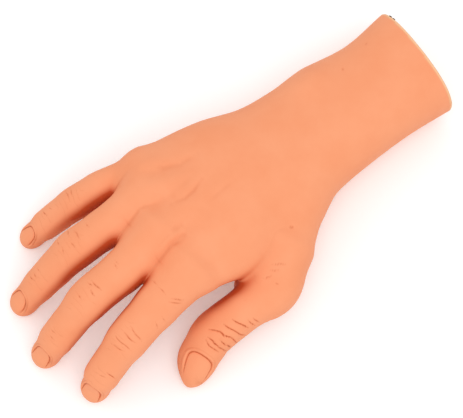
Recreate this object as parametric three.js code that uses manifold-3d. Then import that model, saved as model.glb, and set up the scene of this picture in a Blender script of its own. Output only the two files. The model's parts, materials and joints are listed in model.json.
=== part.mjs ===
// Nail practice hand: a soft vinyl right hand with a foam core and bendable wires in its digits.
// Millimetres. +X runs from the forearm cut to the fingertips, +Y is the thumb side and +Z is up.
// The hand rests palm down on its forearm, its fingertips and its thumb.
import * as THREE from 'three';
import Module from 'manifold-3d';

// Walls and clearances. Cutting shapes run past the faces they open by an overrun.
const SKIN_WALL = 2.4;
const FOAM_GAP = 0.3;
const SEAM_GAP = 0.3;
const FOAM_RECESS = 0.4;
const CUT_OVERRUN = 3;

// Wires. Two of them run to the cut and break out at its little-finger corner.
const WIRE_DIAMETER = 1.6;
const BORE_GAP = 0.3;
const WIRE_END_GAP = 0.8;
const TIP_WIRE_COVER = 7;
const TAIL_LENGTH = 0.4;

// Nail beds: a slot along the cuticle, and a bed a little lower than the skin. The cuticle sweeps forward
// at its sides. The tip closes in a dome over a share of the nail's length.
const SLOT_DEPTH = 1.5;
const SLOT_WIDTH = 0.9;
const SLOT_LIP = 0.2;
const BED_DROP = 0.6;
const CUTICLE_SWEEP = 3.2;
const NAIL_HALF_ANGLE = 58;
const DOME_SHARE = 0.55;

// Run of a finger's root inside the palm, behind its knuckle
const ROOT_RUN = { back: 18, width: 13, depth: 12 };

// Facet counts, and the places of the rings along a dome and a bend section
const DIGIT_SIDES = 16;
const PALM_SIDES = 26;
const WIRE_SIDES = 8;
const WIRE_STEPS = 14;
const DOME_RINGS = [0.35, 0.6, 0.8, 0.93, 0.99];
const BEND_RINGS = [0, 0.25, 0.5, 0.75, 1];

// Forearm and palm. Each row is a section square to +X: its place, its little-finger edge, its thumb edge,
// its underside and its back.
const CUT_SLANT = 3;
const CUT_LEAN = 4;
const PALM_ROUNDNESS = 2.3;
const PALM_SECTIONS = [
  { x: -120.8, ulnar: -34.2, radial: 25, bottom: 0, top: 43 },
  { x: -96, ulnar: -31.8, radial: 22.6, bottom: 0.3, top: 42 },
  { x: -70, ulnar: -35, radial: 22.8, bottom: 1, top: 43 },
  { x: -50, ulnar: -34.8, radial: 24.4, bottom: 2, top: 44.5 },
  { x: -32, ulnar: -36.2, radial: 28.4, bottom: 4, top: 46.5 },
  { x: -12, ulnar: -42, radial: 30, bottom: 8, top: 49.5 },
  { x: 10, ulnar: -46, radial: 32.4, bottom: 13, top: 52 },
  { x: 28, ulnar: -47.8, radial: 32, bottom: 19, top: 53 },
  { x: 40, ulnar: -36, radial: 29, bottom: 24, top: 51 },
  { x: 49, ulnar: -26, radial: 22, bottom: 30, top: 46 },
];
const CAVITY_END = 28;

// Thumb base, from the heel of the hand to the thumb's root joint
const THUMB_BASE = [
  { at: [-40, 9, 22], width: 22, depth: 30 },
  { at: [-24, 18, 23], width: 27, depth: 36 },
  { at: [-8, 31, 24], width: 27.5, depth: 33 },
];
const THUMB_CAVITY_ROWS = 3;

// Digits. root is the centre of the first joint. knuckle is the centre of the palm end of the digit.
// Every phalanx starts at the joint it names and runs along its own yaw (to the thumb side) and pitch (down).
// soft is half the length of the bend section round that joint. Sections are width by depth, at each joint
// and half way along each phalanx, then at the cuticle. nail is the length from the cuticle to the tip.
const DIGITS = {
  index: {
    root: [60, 21.5, 37.4],
    knuckle: { at: [38, 17, 39.5], width: 26, depth: 25 },
    phalanges: [
      { joint: 'root', part: 'proximal', soft: 5.6, length: 21.5, yaw: 10, pitch: 13 },
      { joint: 'pip', part: 'middle', soft: 7.3, length: 24, yaw: 8, pitch: 39 },
      { joint: 'dip', part: 'tip', soft: 5, length: 18.6, yaw: 8, pitch: 62 },
    ],
    sections: [[22, 22], [20.5, 20], [20.5, 19.5], [17.5, 17], [17, 16], [14.6, 13.5]],
    nail: 11,
    wireRoute: [[10, 11, 36], [-25, 8, 32], [-62, 8, 28]],
  },
  middle: {
    root: [62, -0.6, 40.2],
    knuckle: { at: [38.6, -5.4, 42], width: 23, depth: 25 },
    phalanges: [
      { joint: 'root', part: 'proximal', soft: 5.8, length: 22.5, yaw: -1, pitch: 13 },
      { joint: 'pip', part: 'middle', soft: 7, length: 26, yaw: 4, pitch: 37 },
      { joint: 'dip', part: 'tip', soft: 5, length: 21.8, yaw: -3, pitch: 57 },
    ],
    sections: [[21, 22], [20, 20], [20.5, 19.5], [18.2, 17.5], [17.5, 16.5], [15, 14]],
    nail: 11.5,
    wireRoute: [[10, -3, 37], [-25, 1, 32], [-66, 1.5, 28]],
  },
  ring: {
    root: [56, -23.6, 37.5],
    knuckle: { at: [31.5, -24.4, 39], width: 21, depth: 24 },
    phalanges: [
      { joint: 'root', part: 'proximal', soft: 5.2, length: 18.5, yaw: -9, pitch: 14 },
      { joint: 'pip', part: 'middle', soft: 6.2, length: 25, yaw: -2, pitch: 34 },
      { joint: 'dip', part: 'tip', soft: 5, length: 23.6, yaw: -6, pitch: 47 },
    ],
    sections: [[19.6, 21], [18.5, 18.5], [18.5, 18], [16.5, 16], [15.5, 15], [13.6, 13]],
    nail: 11,
    wireRoute: [[5, -14, 35], [-25, -6, 32], [-66, -8, 30], [-98, -16, 32]],
    tail: [-24.6, 37.6],
  },
  little: {
    root: [45.3, -43.8, 31],
    knuckle: { at: [24, -37, 33], width: 20, depth: 22 },
    phalanges: [
      { joint: 'root', part: 'proximal', soft: 5, length: 14.5, yaw: -16, pitch: 20 },
      { joint: 'pip', part: 'middle', soft: 5.2, length: 20, yaw: -12, pitch: 33 },
      { joint: 'dip', part: 'tip', soft: 4.5, length: 19, yaw: -15, pitch: 44 },
    ],
    sections: [[16.8, 18], [16, 16], [16, 15.5], [14.6, 14], [14, 13], [11.8, 11]],
    nail: 9,
    wireRoute: [[0, -25, 31], [-30, -16, 30], [-66, -17, 29], [-98, -20, 29]],
    tail: [-27.1, 36.2],
  },
  thumb: {
    root: [9, 46, 23],
    knuckle: { at: [-8, 36, 24] },
    phalanges: [
      { joint: 'mcp', part: 'proximal', soft: 7, length: 34, yaw: -5, pitch: 7 },
      { joint: 'ip', part: 'tip', soft: 6.5, length: 31, yaw: 20, pitch: 30 },
    ],
    sections: [[24.5, 25], [20.5, 20], [21.8, 18.5], [19, 15.5]],
    nail: 15,
    roll: 8,
    wireRoute: [[-25, 22, 25], [-60, 14.5, 26]],
  },
};

// Finishes
const VINYL = new THREE.MeshStandardMaterial({ color: '#f7a57c', roughness: 0.55, metalness: 0 });
const FOAM = new THREE.MeshStandardMaterial({ color: '#ead9b8', roughness: 0.95, metalness: 0 });
const IRON = new THREE.MeshStandardMaterial({ color: '#26221f', roughness: 0.6, metalness: 0.8 });

const wasm = await Module();
wasm.setup();

const X_AXIS = new THREE.Vector3(1, 0, 0);
const WIRE_RADIUS = WIRE_DIAMETER / 2;
const BORE_RADIUS = WIRE_RADIUS + BORE_GAP;

const vector = (row) => new THREE.Vector3(...row);
const degrees = THREE.MathUtils.degToRad;

// Closed surface from shared points and triangles, turned so that its faces point out
function closedGeometry(points, faces) {
  let volume = 0;
  for (const [a, b, c] of faces) {
    volume += points[a].dot(new THREE.Vector3().crossVectors(points[b], points[c]));
  }
  const outward = volume > 0 ? faces : faces.map(([a, b, c]) => [a, c, b]);
  const geometry = new THREE.BufferGeometry().setFromPoints(points);
  geometry.setIndex(outward.flat());
  geometry.computeVertexNormals();
  return geometry;
}

// Skin between rings of equal count: joined round to the first ring when wrapped, or else capped at both ends
function loft(rings, wrapped = false) {
  const sides = rings[0].length;
  const points = rings.flat();
  const faces = [];
  const spans = wrapped ? rings.length : rings.length - 1;
  for (let i = 0; i < spans; i += 1) {
    const here = i * sides;
    const there = ((i + 1) % rings.length) * sides;
    for (let j = 0; j < sides; j += 1) {
      const k = (j + 1) % sides;
      faces.push([here + j, here + k, there + k], [here + j, there + k, there + j]);
    }
  }
  if (!wrapped) {
    const last = (rings.length - 1) * sides;
    const firstHub = points.push(centroid(rings[0])) - 1;
    const lastHub = points.push(centroid(rings.at(-1))) - 1;
    for (let j = 0; j < sides; j += 1) {
      const k = (j + 1) % sides;
      faces.push([firstHub, k, j], [lastHub, last + j, last + k]);
    }
  }
  return closedGeometry(points, faces);
}

function centroid(ring) {
  const sum = ring.reduce((total, point) => total.add(point), new THREE.Vector3());
  return sum.divideScalar(ring.length);
}

// Oval ring round a centre, in the plane square to the frame's X axis
function ovalRing(center, frame, width, depth, sides, exponent = 2) {
  return Array.from({ length: sides }, (_, j) => {
    const angle = (j / sides) * 2 * Math.PI;
    const power = 2 / exponent;
    const y = (width / 2) * Math.sign(Math.cos(angle)) * Math.abs(Math.cos(angle)) ** power;
    const z = (depth / 2) * Math.sign(Math.sin(angle)) * Math.abs(Math.sin(angle)) ** power;
    return new THREE.Vector3(0, y, z).applyQuaternion(frame).add(center);
  });
}

// Frame whose X axis runs along a yaw and a pitch, with its Z axis to the back of the hand
function frameOf({ yaw, pitch, roll = 0 }) {
  return new THREE.Quaternion().setFromEuler(
    new THREE.Euler(degrees(roll), degrees(pitch), degrees(yaw), 'ZYX'),
  );
}

function frameAlong(direction, roll = 0) {
  const yaw = Math.atan2(direction.y, direction.x);
  const pitch = Math.atan2(-direction.z, Math.hypot(direction.x, direction.y));
  return frameOf({
    yaw: THREE.MathUtils.radToDeg(yaw),
    pitch: THREE.MathUtils.radToDeg(pitch),
    roll,
  });
}

function toManifold(geometry) {
  return new wasm.Manifold(new wasm.Mesh({
    numProp: 3,
    vertProperties: Float32Array.from(geometry.getAttribute('position').array),
    triVerts: Uint32Array.from(geometry.getIndex().array),
  }));
}

function fromManifold(manifold) {
  const { vertProperties, triVerts } = manifold.getMesh();
  const geometry = new THREE.BufferGeometry();
  geometry.setAttribute('position', new THREE.BufferAttribute(Float32Array.from(vertProperties), 3));
  geometry.setIndex([...triVerts]);
  geometry.computeVertexNormals();
  return geometry;
}

function joined(geometries) {
  return geometries.map(toManifold).reduce((whole, next) => whole.add(next));
}

function mesh(name, geometry, material) {
  const piece = new THREE.Mesh(geometry, material);
  piece.name = name;
  return piece;
}

// Width and depth of a digit at a distance from its root, eased between its stations
function sectionAt(stations, distance) {
  const next = stations.findIndex((station) => station.at > distance);
  if (next === 0) return stations[0];
  if (next < 0) return stations.at(-1);
  const [from, to] = [stations[next - 1], stations[next]];
  const t = THREE.MathUtils.smoothstep(distance, from.at, to.at);
  return {
    width: THREE.MathUtils.lerp(from.width, to.width, t),
    depth: THREE.MathUtils.lerp(from.depth, to.depth, t),
  };
}

// Stations at each joint, half way along each phalanx, and at the cuticle of the last one
function stationsOf({ phalanges, sections, nail }) {
  const stations = [];
  let start = 0;
  phalanges.forEach(({ length }, k) => {
    const isTip = k === phalanges.length - 1;
    stations.push(start, start + (isTip ? length - nail : length / 2));
    start += length;
  });
  return stations.map((at, i) => ({ at, width: sections[i][0], depth: sections[i][1] }));
}

const IDENTITY = new THREE.Quaternion();
const boreRing = (x) => ovalRing(
  new THREE.Vector3(x, 0, 0), IDENTITY, 2 * BORE_RADIUS, 2 * BORE_RADIUS, DIGIT_SIDES,
);

// Stiff skin section of a phalanx, a bored tube along its own X axis
function phalanxSkin(section, from, to) {
  const places = [from, (from + to) / 2, to];
  const outer = places.map((x) => {
    const { width, depth } = section(x);
    return ovalRing(new THREE.Vector3(x, 0, 0), IDENTITY, width, depth, DIGIT_SIDES);
  });
  return loft([...outer, boreRing(to), boreRing(from)], true);
}

// How far a point round the tip lies from the middle of the nail: 0 in the middle, 1 at its edge and beyond
function nailSpread(j) {
  const fromTop = Math.abs((j / DIGIT_SIDES) * 360 - 90);
  return Math.min(1, Math.min(fromTop, 360 - fromTop) / NAIL_HALF_ANGLE);
}

// Skin of a fingertip: a tube that closes in a dome, with the nail bed and its slot let into the back
function tipSkin(section, from, length, nail, wireEnd) {
  const cuticle = length - nail;
  const domeLength = nail * DOME_SHARE;
  const ring = (x, scale, drop, sweep) => {
    const { width, depth } = section(Math.min(x, cuticle));
    const oval = ovalRing(new THREE.Vector3(x, 0, 0), IDENTITY, width * scale, depth * scale, DIGIT_SIDES);
    oval.forEach((point, j) => {
      const spread = nailSpread(j);
      point.x += sweep * spread ** 2;
      point.z -= spread < 1 ? drop : 0;
    });
    return oval;
  };
  const domeRings = DOME_RINGS.map((t) => {
    const scale = Math.sqrt(1 - t ** 2);
    return ring(length - domeLength * (1 - t), scale, BED_DROP * scale, 0);
  });
  const slotRings = [
    [0, 0],
    [SLOT_LIP, SLOT_DEPTH],
    [SLOT_WIDTH - SLOT_LIP, SLOT_DEPTH],
    [SLOT_WIDTH, BED_DROP],
  ].map(([past, drop]) => ring(cuticle + past, 1, drop, CUTICLE_SWEEP));
  const baseRings = [from, (from + cuticle) / 2].map((x) => ring(x, 1, 0, 0));
  return loft([boreRing(wireEnd + BORE_GAP), boreRing(from), ...baseRings, ...slotRings, ...domeRings]);
}

// Soft bend section round a joint at the origin. It starts square to the inner frame and ends square to +X.
function bendSkin(section, inner, reach) {
  const innerAxis = X_AXIS.clone().applyQuaternion(inner);
  const start = innerAxis.clone().multiplyScalar(-reach);
  const end = X_AXIS.clone().multiplyScalar(reach);
  const curve = new THREE.QuadraticBezierCurve3(start, new THREE.Vector3(), end);
  const outer = BEND_RINGS.map((t) => {
    const { width, depth } = section((2 * t - 1) * reach);
    const frame = inner.clone().slerp(IDENTITY, t);
    return ovalRing(curve.getPoint(t), frame, width, depth, DIGIT_SIDES);
  });
  const middle = inner.clone().slerp(IDENTITY, 0.5);
  const bore = [[end, IDENTITY], [new THREE.Vector3(), middle], [start, inner]].map(
    ([center, frame]) => ovalRing(center, frame, 2 * BORE_RADIUS, 2 * BORE_RADIUS, DIGIT_SIDES),
  );
  return loft([...outer, ...bore], true);
}

function straightWire(from, to) {
  const ends = [from, to].map((x) => ovalRing(
    new THREE.Vector3(x, 0, 0), IDENTITY, WIRE_DIAMETER, WIRE_DIAMETER, WIRE_SIDES,
  ));
  return loft(ends);
}

// Round bar along a route of points, lengthened at both ends along its end directions
function routeBar(route, radius, stretchStart, stretchEnd) {
  const curve = new THREE.CatmullRomCurve3(route);
  const { normals, binormals } = curve.computeFrenetFrames(WIRE_STEPS, false);
  const ringAt = (center, i) => Array.from({ length: WIRE_SIDES }, (_, j) => {
    const angle = (j / WIRE_SIDES) * 2 * Math.PI;
    return center.clone()
      .addScaledVector(normals[i], radius * Math.cos(angle))
      .addScaledVector(binormals[i], radius * Math.sin(angle));
  });
  const centers = Array.from({ length: WIRE_STEPS + 1 }, (_, i) => curve.getPointAt(i / WIRE_STEPS));
  centers[0].addScaledVector(curve.getTangentAt(0), -stretchStart);
  centers[WIRE_STEPS].addScaledVector(curve.getTangentAt(1), stretchEnd);
  return loft(centers.map(ringAt));
}

// Frame of the palm where a digit starts: along the line from its knuckle to its root joint
function palmFrame({ root, knuckle, roll = 0 }) {
  return frameAlong(vector(root).sub(vector(knuckle.at)), roll);
}

// Place along the palm frame of a digit, measured from its root joint
function palmPoint(digit, distance) {
  return vector(digit.root).addScaledVector(X_AXIS.clone().applyQuaternion(palmFrame(digit)), distance);
}

// One digit as nested groups, one group at each joint with its X axis along the phalanx
function buildDigit(name, digit) {
  const stations = stationsOf(digit);
  const frames = digit.phalanges.map((phalanx) => frameOf({ ...phalanx, roll: digit.roll }));
  const base = new THREE.Group();
  base.position.copy(vector(digit.root));
  base.quaternion.copy(palmFrame(digit));
  let parent = base;
  let parentFrame = palmFrame(digit);
  let start = 0;
  digit.phalanges.forEach((phalanx, k) => {
    const joint = new THREE.Group();
    joint.name = `${name}_${phalanx.joint}`;
    joint.quaternion.copy(parentFrame.clone().invert().multiply(frames[k]));
    if (k > 0) joint.position.x = digit.phalanges[k - 1].length;
    parent.add(joint);

    const { length, part } = phalanx;
    const offset = start;
    const section = (x) => sectionAt(stations, offset + x);
    const inner = frames[k].clone().invert().multiply(parentFrame);
    joint.add(mesh(`${name}_${phalanx.joint}_bend`, bendSkin(section, inner, phalanx.soft - SEAM_GAP / 2), VINYL));

    const from = phalanx.soft + SEAM_GAP / 2;
    const next = digit.phalanges[k + 1];
    const wireEnd = next ? length - WIRE_END_GAP : length - TIP_WIRE_COVER;
    const skin = next
      ? phalanxSkin(section, from, length - next.soft - SEAM_GAP / 2)
      : tipSkin(section, from, length, digit.nail, wireEnd);
    joint.add(mesh(`${name}_${part}_skin`, skin, VINYL));
    joint.add(mesh(`${name}_${part}_wire`, straightWire(WIRE_END_GAP, wireEnd), IRON));

    start += length;
    parent = joint;
    parentFrame = frames[k];
  });
  return base;
}

// Place along X of a point of the cut face, which slants across the forearm and leans back at the top
function cutPlane(y, z) {
  const { x, ulnar, radial, bottom, top } = PALM_SECTIONS[0];
  const slant = Math.tan(degrees(CUT_SLANT)) * (y - (ulnar + radial) / 2);
  const lean = Math.tan(degrees(CUT_LEAN)) * (z - (bottom + top) / 2);
  return x + slant + lean;
}

// Sections of the palm up to a place along X, the last one taken between its neighbours
function palmRowsTo(lastX) {
  const rows = PALM_SECTIONS.filter(({ x }) => x < lastX);
  const from = rows.at(-1);
  const to = PALM_SECTIONS[rows.length];
  const share = (lastX - from.x) / (to.x - from.x);
  const last = Object.keys(from).map((key) => [key, THREE.MathUtils.lerp(from[key], to[key], share)]);
  return [...rows, Object.fromEntries(last)];
}

// Rings of the forearm and palm, drawn in by a wall. The first one lies in the cut face, moved along X.
function palmRings(rows, wall, cutShift) {
  return rows.map(({ x, ulnar, radial, bottom, top }, i) => {
    const endWall = i === rows.length - 1 ? wall : 0;
    const center = new THREE.Vector3(x - endWall, (ulnar + radial) / 2, (bottom + top) / 2);
    const width = radial - ulnar - 2 * wall;
    const depth = top - bottom - 2 * wall;
    const ring = ovalRing(center, IDENTITY, width, depth, PALM_SIDES, PALM_ROUNDNESS);
    if (i === 0) ring.forEach((point) => point.setX(cutPlane(point.y, point.z) + cutShift));
    return ring;
  });
}

// Thumb base, drawn in by a wall, for a number of its rows or up to the thumb's first bend section
function thumbBaseRings(digit, wall, rowCount = Infinity) {
  const [width, depth] = digit.sections[0];
  const end = palmPoint(digit, -digit.phalanges[0].soft - SEAM_GAP / 2);
  const places = [...THUMB_BASE, { at: end.toArray(), width, depth }];
  const rows = places.slice(0, rowCount);
  return rows.map((row, i) => {
    const before = vector(places[Math.max(0, i - 1)].at);
    const after = vector(places[Math.min(places.length - 1, i + 1)].at);
    const isLast = i === places.length - 1;
    const frame = isLast ? palmFrame(digit) : frameAlong(after.sub(before));
    const endWall = i === rows.length - 1 ? wall : 0;
    const center = vector(row.at).addScaledVector(X_AXIS.clone().applyQuaternion(frame), -endWall);
    return ovalRing(center, frame, row.width - 2 * wall, row.depth - 2 * wall, DIGIT_SIDES);
  });
}

// Root of a finger on the palm: from inside the palm, over the knuckle, to the finger's first bend section
function fingerRootRings(digit) {
  const frame = palmFrame(digit);
  const { width, depth } = digit.knuckle;
  const [rootWidth, rootDepth] = digit.sections[0];
  const knuckle = vector(digit.knuckle.at);
  const buried = knuckle.clone().addScaledVector(X_AXIS.clone().applyQuaternion(frame), -ROOT_RUN.back);
  const end = palmPoint(digit, -digit.phalanges[0].soft - SEAM_GAP / 2);
  return [
    ovalRing(buried, frame, ROOT_RUN.width, ROOT_RUN.depth, DIGIT_SIDES),
    ovalRing(knuckle, frame, width, depth, DIGIT_SIDES),
    ovalRing(end, frame, rootWidth, rootDepth, DIGIT_SIDES),
  ];
}

// Route of a wire in the palm, from the digit's first joint back into the foam
function palmWireRoute(digit) {
  const { soft } = digit.phalanges[0];
  const route = [
    palmPoint(digit, -WIRE_END_GAP),
    palmPoint(digit, -soft),
    palmPoint(digit, -2 * soft),
    ...digit.wireRoute.map(vector),
  ];
  if (digit.tail) {
    const [y, z] = digit.tail;
    route.push(new THREE.Vector3(cutPlane(y, z) - TAIL_LENGTH, y, z));
  }
  return route;
}

const routes = Object.entries(DIGITS).map(([name, digit]) => [name, palmWireRoute(digit)]);
const channels = joined(routes.map(([, route]) => routeBar(route, BORE_RADIUS, CUT_OVERRUN, BORE_GAP)));

const { thumb, ...fingers } = DIGITS;
const outside = joined([
  loft(palmRings(PALM_SECTIONS, 0, 0)),
  loft(thumbBaseRings(thumb, 0)),
  ...Object.values(fingers).map((digit) => loft(fingerRootRings(digit))),
]);

const cavityRows = palmRowsTo(CAVITY_END);
const hollowRings = palmRings(cavityRows, SKIN_WALL, 0);
const mouthRing = hollowRings[0].map((point) => point.clone().addScaledVector(X_AXIS, -CUT_OVERRUN));
const hollow = joined([
  loft([mouthRing, ...hollowRings]),
  loft(thumbBaseRings(thumb, SKIN_WALL, THUMB_CAVITY_ROWS)),
]);
const core = joined([
  loft(palmRings(cavityRows, SKIN_WALL + FOAM_GAP, FOAM_RECESS)),
  loft(thumbBaseRings(thumb, SKIN_WALL + FOAM_GAP, THUMB_CAVITY_ROWS)),
]);

const hand = new THREE.Group();
hand.add(mesh('palm_skin', fromManifold(outside.subtract(hollow).subtract(channels)), VINYL));
hand.add(mesh('palm_core', fromManifold(core.subtract(channels)), FOAM));
for (const [name, route] of routes) {
  hand.add(mesh(`${name}_palm_wire`, routeBar(route, WIRE_RADIUS, 0, 0), IRON));
}
for (const [name, digit] of Object.entries(DIGITS)) hand.add(buildDigit(name, digit));

// The origin is the middle of the footprint, on the surface that the hand lies on
hand.updateMatrixWorld(true);
const box = new THREE.Box3().setFromObject(hand, true);
const middle = box.getCenter(new THREE.Vector3());
hand.position.set(-middle.x, -middle.y, -box.min.z);

const part = new THREE.Group();
part.add(hand);

export default part;
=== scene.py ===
"""Nail practice hand: soft vinyl skin over a foam core, with bendable iron wires in its digits.

The skin is one smooth surface, the zero level of a field in millimetres. The palm, the thumb base and the
digits are joined in that field by soft unions, and the relief of nails, wrinkles, creases and tendons comes
off it. The surface is netted on a grid, settled on the field, and cut at the bend sections of the solids.
"""
import json
import logging
import math
from dataclasses import dataclass, field
from enum import Enum
from typing import Callable

import bpy
import numpy as np
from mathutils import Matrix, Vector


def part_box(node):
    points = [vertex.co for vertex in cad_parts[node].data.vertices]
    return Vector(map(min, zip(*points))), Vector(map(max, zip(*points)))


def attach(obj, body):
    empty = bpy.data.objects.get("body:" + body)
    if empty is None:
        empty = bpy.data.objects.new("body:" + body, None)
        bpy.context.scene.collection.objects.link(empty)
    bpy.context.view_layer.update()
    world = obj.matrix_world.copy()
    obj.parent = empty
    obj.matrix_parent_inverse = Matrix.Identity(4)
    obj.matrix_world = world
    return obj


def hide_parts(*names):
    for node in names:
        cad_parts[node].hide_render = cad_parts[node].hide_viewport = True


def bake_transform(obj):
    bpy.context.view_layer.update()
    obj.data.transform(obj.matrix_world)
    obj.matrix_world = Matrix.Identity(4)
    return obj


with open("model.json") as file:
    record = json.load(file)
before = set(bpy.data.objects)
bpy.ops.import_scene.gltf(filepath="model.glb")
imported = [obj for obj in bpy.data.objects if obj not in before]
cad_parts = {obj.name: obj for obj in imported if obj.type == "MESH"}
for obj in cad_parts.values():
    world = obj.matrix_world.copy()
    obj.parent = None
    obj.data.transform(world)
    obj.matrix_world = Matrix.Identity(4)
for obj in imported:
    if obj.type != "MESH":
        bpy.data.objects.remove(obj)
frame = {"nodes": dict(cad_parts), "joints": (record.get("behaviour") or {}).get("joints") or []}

LOG = logging.getLogger("nail_practice_hand")
MM = 0.001
FAR = 40.0
TINY = 1e-9
# Attributes of painted light: painted shade in creases, painted shade in the gaps between digits, and a
# painted highlight along the rim of the cut
PAINTED_LIGHT_TONES = ("crease_shade", "gap", "rim")
FINE_STEP = 0.7
WHITE = (1.0, 1.0, 1.0, 1.0)

Array = np.ndarray
Field = Callable[[Array], Array]
Pairs = list[tuple[Array, Array]]
Colour = tuple[int, int, int]
Thing = bpy.types.Object
Material = bpy.types.Material
Socket = bpy.types.NodeSocket


class Slot(Enum):
    """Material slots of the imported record."""

    SKIN = "vinyl_skin"
    FOAM = "foam_core"
    WIRE = "iron_wire"


class Side(Enum):
    """The two faces of the hand that carry relief."""

    BACK = 1
    PALM = -1


def joint_row(name: str) -> dict:
    """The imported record's row of a joint."""
    return next(row for row in frame["joints"] if row["name"] == name)


def joint_place(name: str) -> Array:
    """Place of a joint at rest, in millimetres."""
    return np.array(joint_row(name)["pos_m"]) / MM


# Place of the index finger's first joint in the drawing, which ties the drawing to the frame
INDEX_ROOT = np.array((60.0, 21.5, 37.4))
ORIGIN = joint_place("index_root") - INDEX_ROOT


def drawn(points: object) -> Array:
    """Places of the drawing, in millimetres of the part's frame."""
    return np.asarray(points, float) + ORIGIN


def unit(vectors: Array) -> Array:
    """Vectors of length one along the last axis."""
    return vectors / np.maximum(np.linalg.norm(vectors, axis=-1, keepdims=True), TINY)


def ease(values: Array, low: float, high: float) -> Array:
    """Smoothstep from 0 at low to 1 at high."""
    t = np.clip((values - low) / (high - low), 0, 1)
    return t * t * (3 - 2 * t)


def soft_min(a: Array, b: Array, reach: float) -> Array:
    """Union of two fields, rounded over a reach: the lesser value, lowered where they are alike."""
    h = np.clip(0.5 + 0.5 * (b - a) / reach, 0, 1)
    return b + (a - b) * h - reach * h * (1 - h)


def eased_between(stations: Array, values: Array, at: Array) -> Array:
    """Values between stations, each span eased by a smoothstep, and level past both ends.

    Args:
        stations: Places of the stations, rising.
        values: Value at each.
        at: Where to read.

    Returns:
        The values there.
    """
    i = np.clip(np.searchsorted(stations, at) - 1, 0, len(stations) - 2)
    t = np.clip((at - stations[i]) / (stations[i + 1] - stations[i]), 0, 1)
    return values[i] + (values[i + 1] - values[i]) * t * t * (3 - 2 * t)


def curve_through(stations: Array, values: Array, at: Array) -> Array:
    """Values between stations on a cubic that leaves each station along its neighbours' chord.

    Args:
        stations: Places of the stations, rising.
        values: Value at each.
        at: Where to read.

    Returns:
        The values there.
    """
    slopes = np.gradient(values, stations)
    i = np.clip(np.searchsorted(stations, at) - 1, 0, len(stations) - 2)
    span = stations[i + 1] - stations[i]
    t = np.clip((at - stations[i]) / span, 0, 1)
    start = values[i] * (1 + 2 * t) * (1 - t) ** 2 + slopes[i] * span * t * (1 - t) ** 2
    end = values[i + 1] * t**2 * (3 - 2 * t) - slopes[i + 1] * span * t**2 * (1 - t)
    return start + end


def bell(values: Array, width: float) -> Array:
    """Gaussian of values: 1 at zero, and 1/e at the width."""
    return np.exp(-((values / width) ** 2))


def lattice(*ticks: object) -> Array:
    """Places of a grid from the ticks on its axes."""
    return np.stack(np.meshgrid(*ticks, indexing="ij"), axis=-1)


def oval_norm(parts: Pairs, roundness: float) -> tuple[Array, Array]:
    """Norm of scaled places, which is 1 on an oval, and the square of its slope.

    Args:
        parts: Pairs of a place along one axis and the half size there.
        roundness: Exponent of the norm: 2 is an ellipse, and more is squarer.

    Returns:
        The norm, and the squared length of its gradient.
    """
    scaled = [np.abs(place) / half + TINY for place, half in parts]
    k = sum(value**roundness for value in scaled) ** (1 / roundness)
    steep = sum(((value / k) ** (roundness - 1) / half) ** 2 for value, (_, half) in zip(scaled, parts))
    return k, steep


def oval_distance(parts: Pairs, roundness: float) -> Array:
    """Distance to an oval, to first order: (k - 1) / |grad k|, where k is its norm. It is negative inside."""
    k, steep = oval_norm(parts, roundness)
    return (k - 1) / np.sqrt(steep)


def domed_distance(parts: Pairs, roundness: float, past: tuple[Array, Array], point: float) -> Array:
    """Distance to an oval that closes in a dome: the norm of the oval's k and of the way into the dome.

    Args:
        parts: Pairs of a place across and the half size there.
        roundness: Exponent of the oval.
        past: Way into the dome, and its length.
        point: Exponent of the dome: 2 is an ellipse, and less is more pointed.

    Returns:
        Distances in the unit of the places, negative inside.
    """
    ring, steep = oval_norm(parts, roundness)
    way = np.abs(past[0]) / past[1] + TINY
    k = (ring**point + way**point) ** (1 / point)
    steep = steep * (ring / k) ** (2 * point - 2) + ((way / k) ** (point - 1) / past[1]) ** 2
    return (k - 1) / np.sqrt(steep)


def distance_to_line(points: Array, line: Array) -> Array:
    """Distance of points in a plane to a broken line.

    Args:
        points: Points in the plane, one a row.
        line: Corners of the line.

    Returns:
        The distances.
    """
    nearest = np.full(len(points), FAR)
    for a, b in zip(line[:-1], line[1:]):
        span = b - a
        t = np.clip(((points - a) @ span) / (span @ span), 0, 1)
        nearest = np.minimum(nearest, np.linalg.norm(points - a - t[:, None] * span, axis=1))
    return nearest


def distance_to_ends(points: Array, line: Array) -> Array:
    """Distance of points in a plane to the nearer end of a broken line."""
    return np.minimum(*(np.linalg.norm(points - line[k], axis=1) for k in (0, -1)))


@dataclass(frozen=True)
class Cap:
    """Closed end of a piece: the fan's middle, and the direction out of it."""

    middle: Array
    outward: Array


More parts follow.
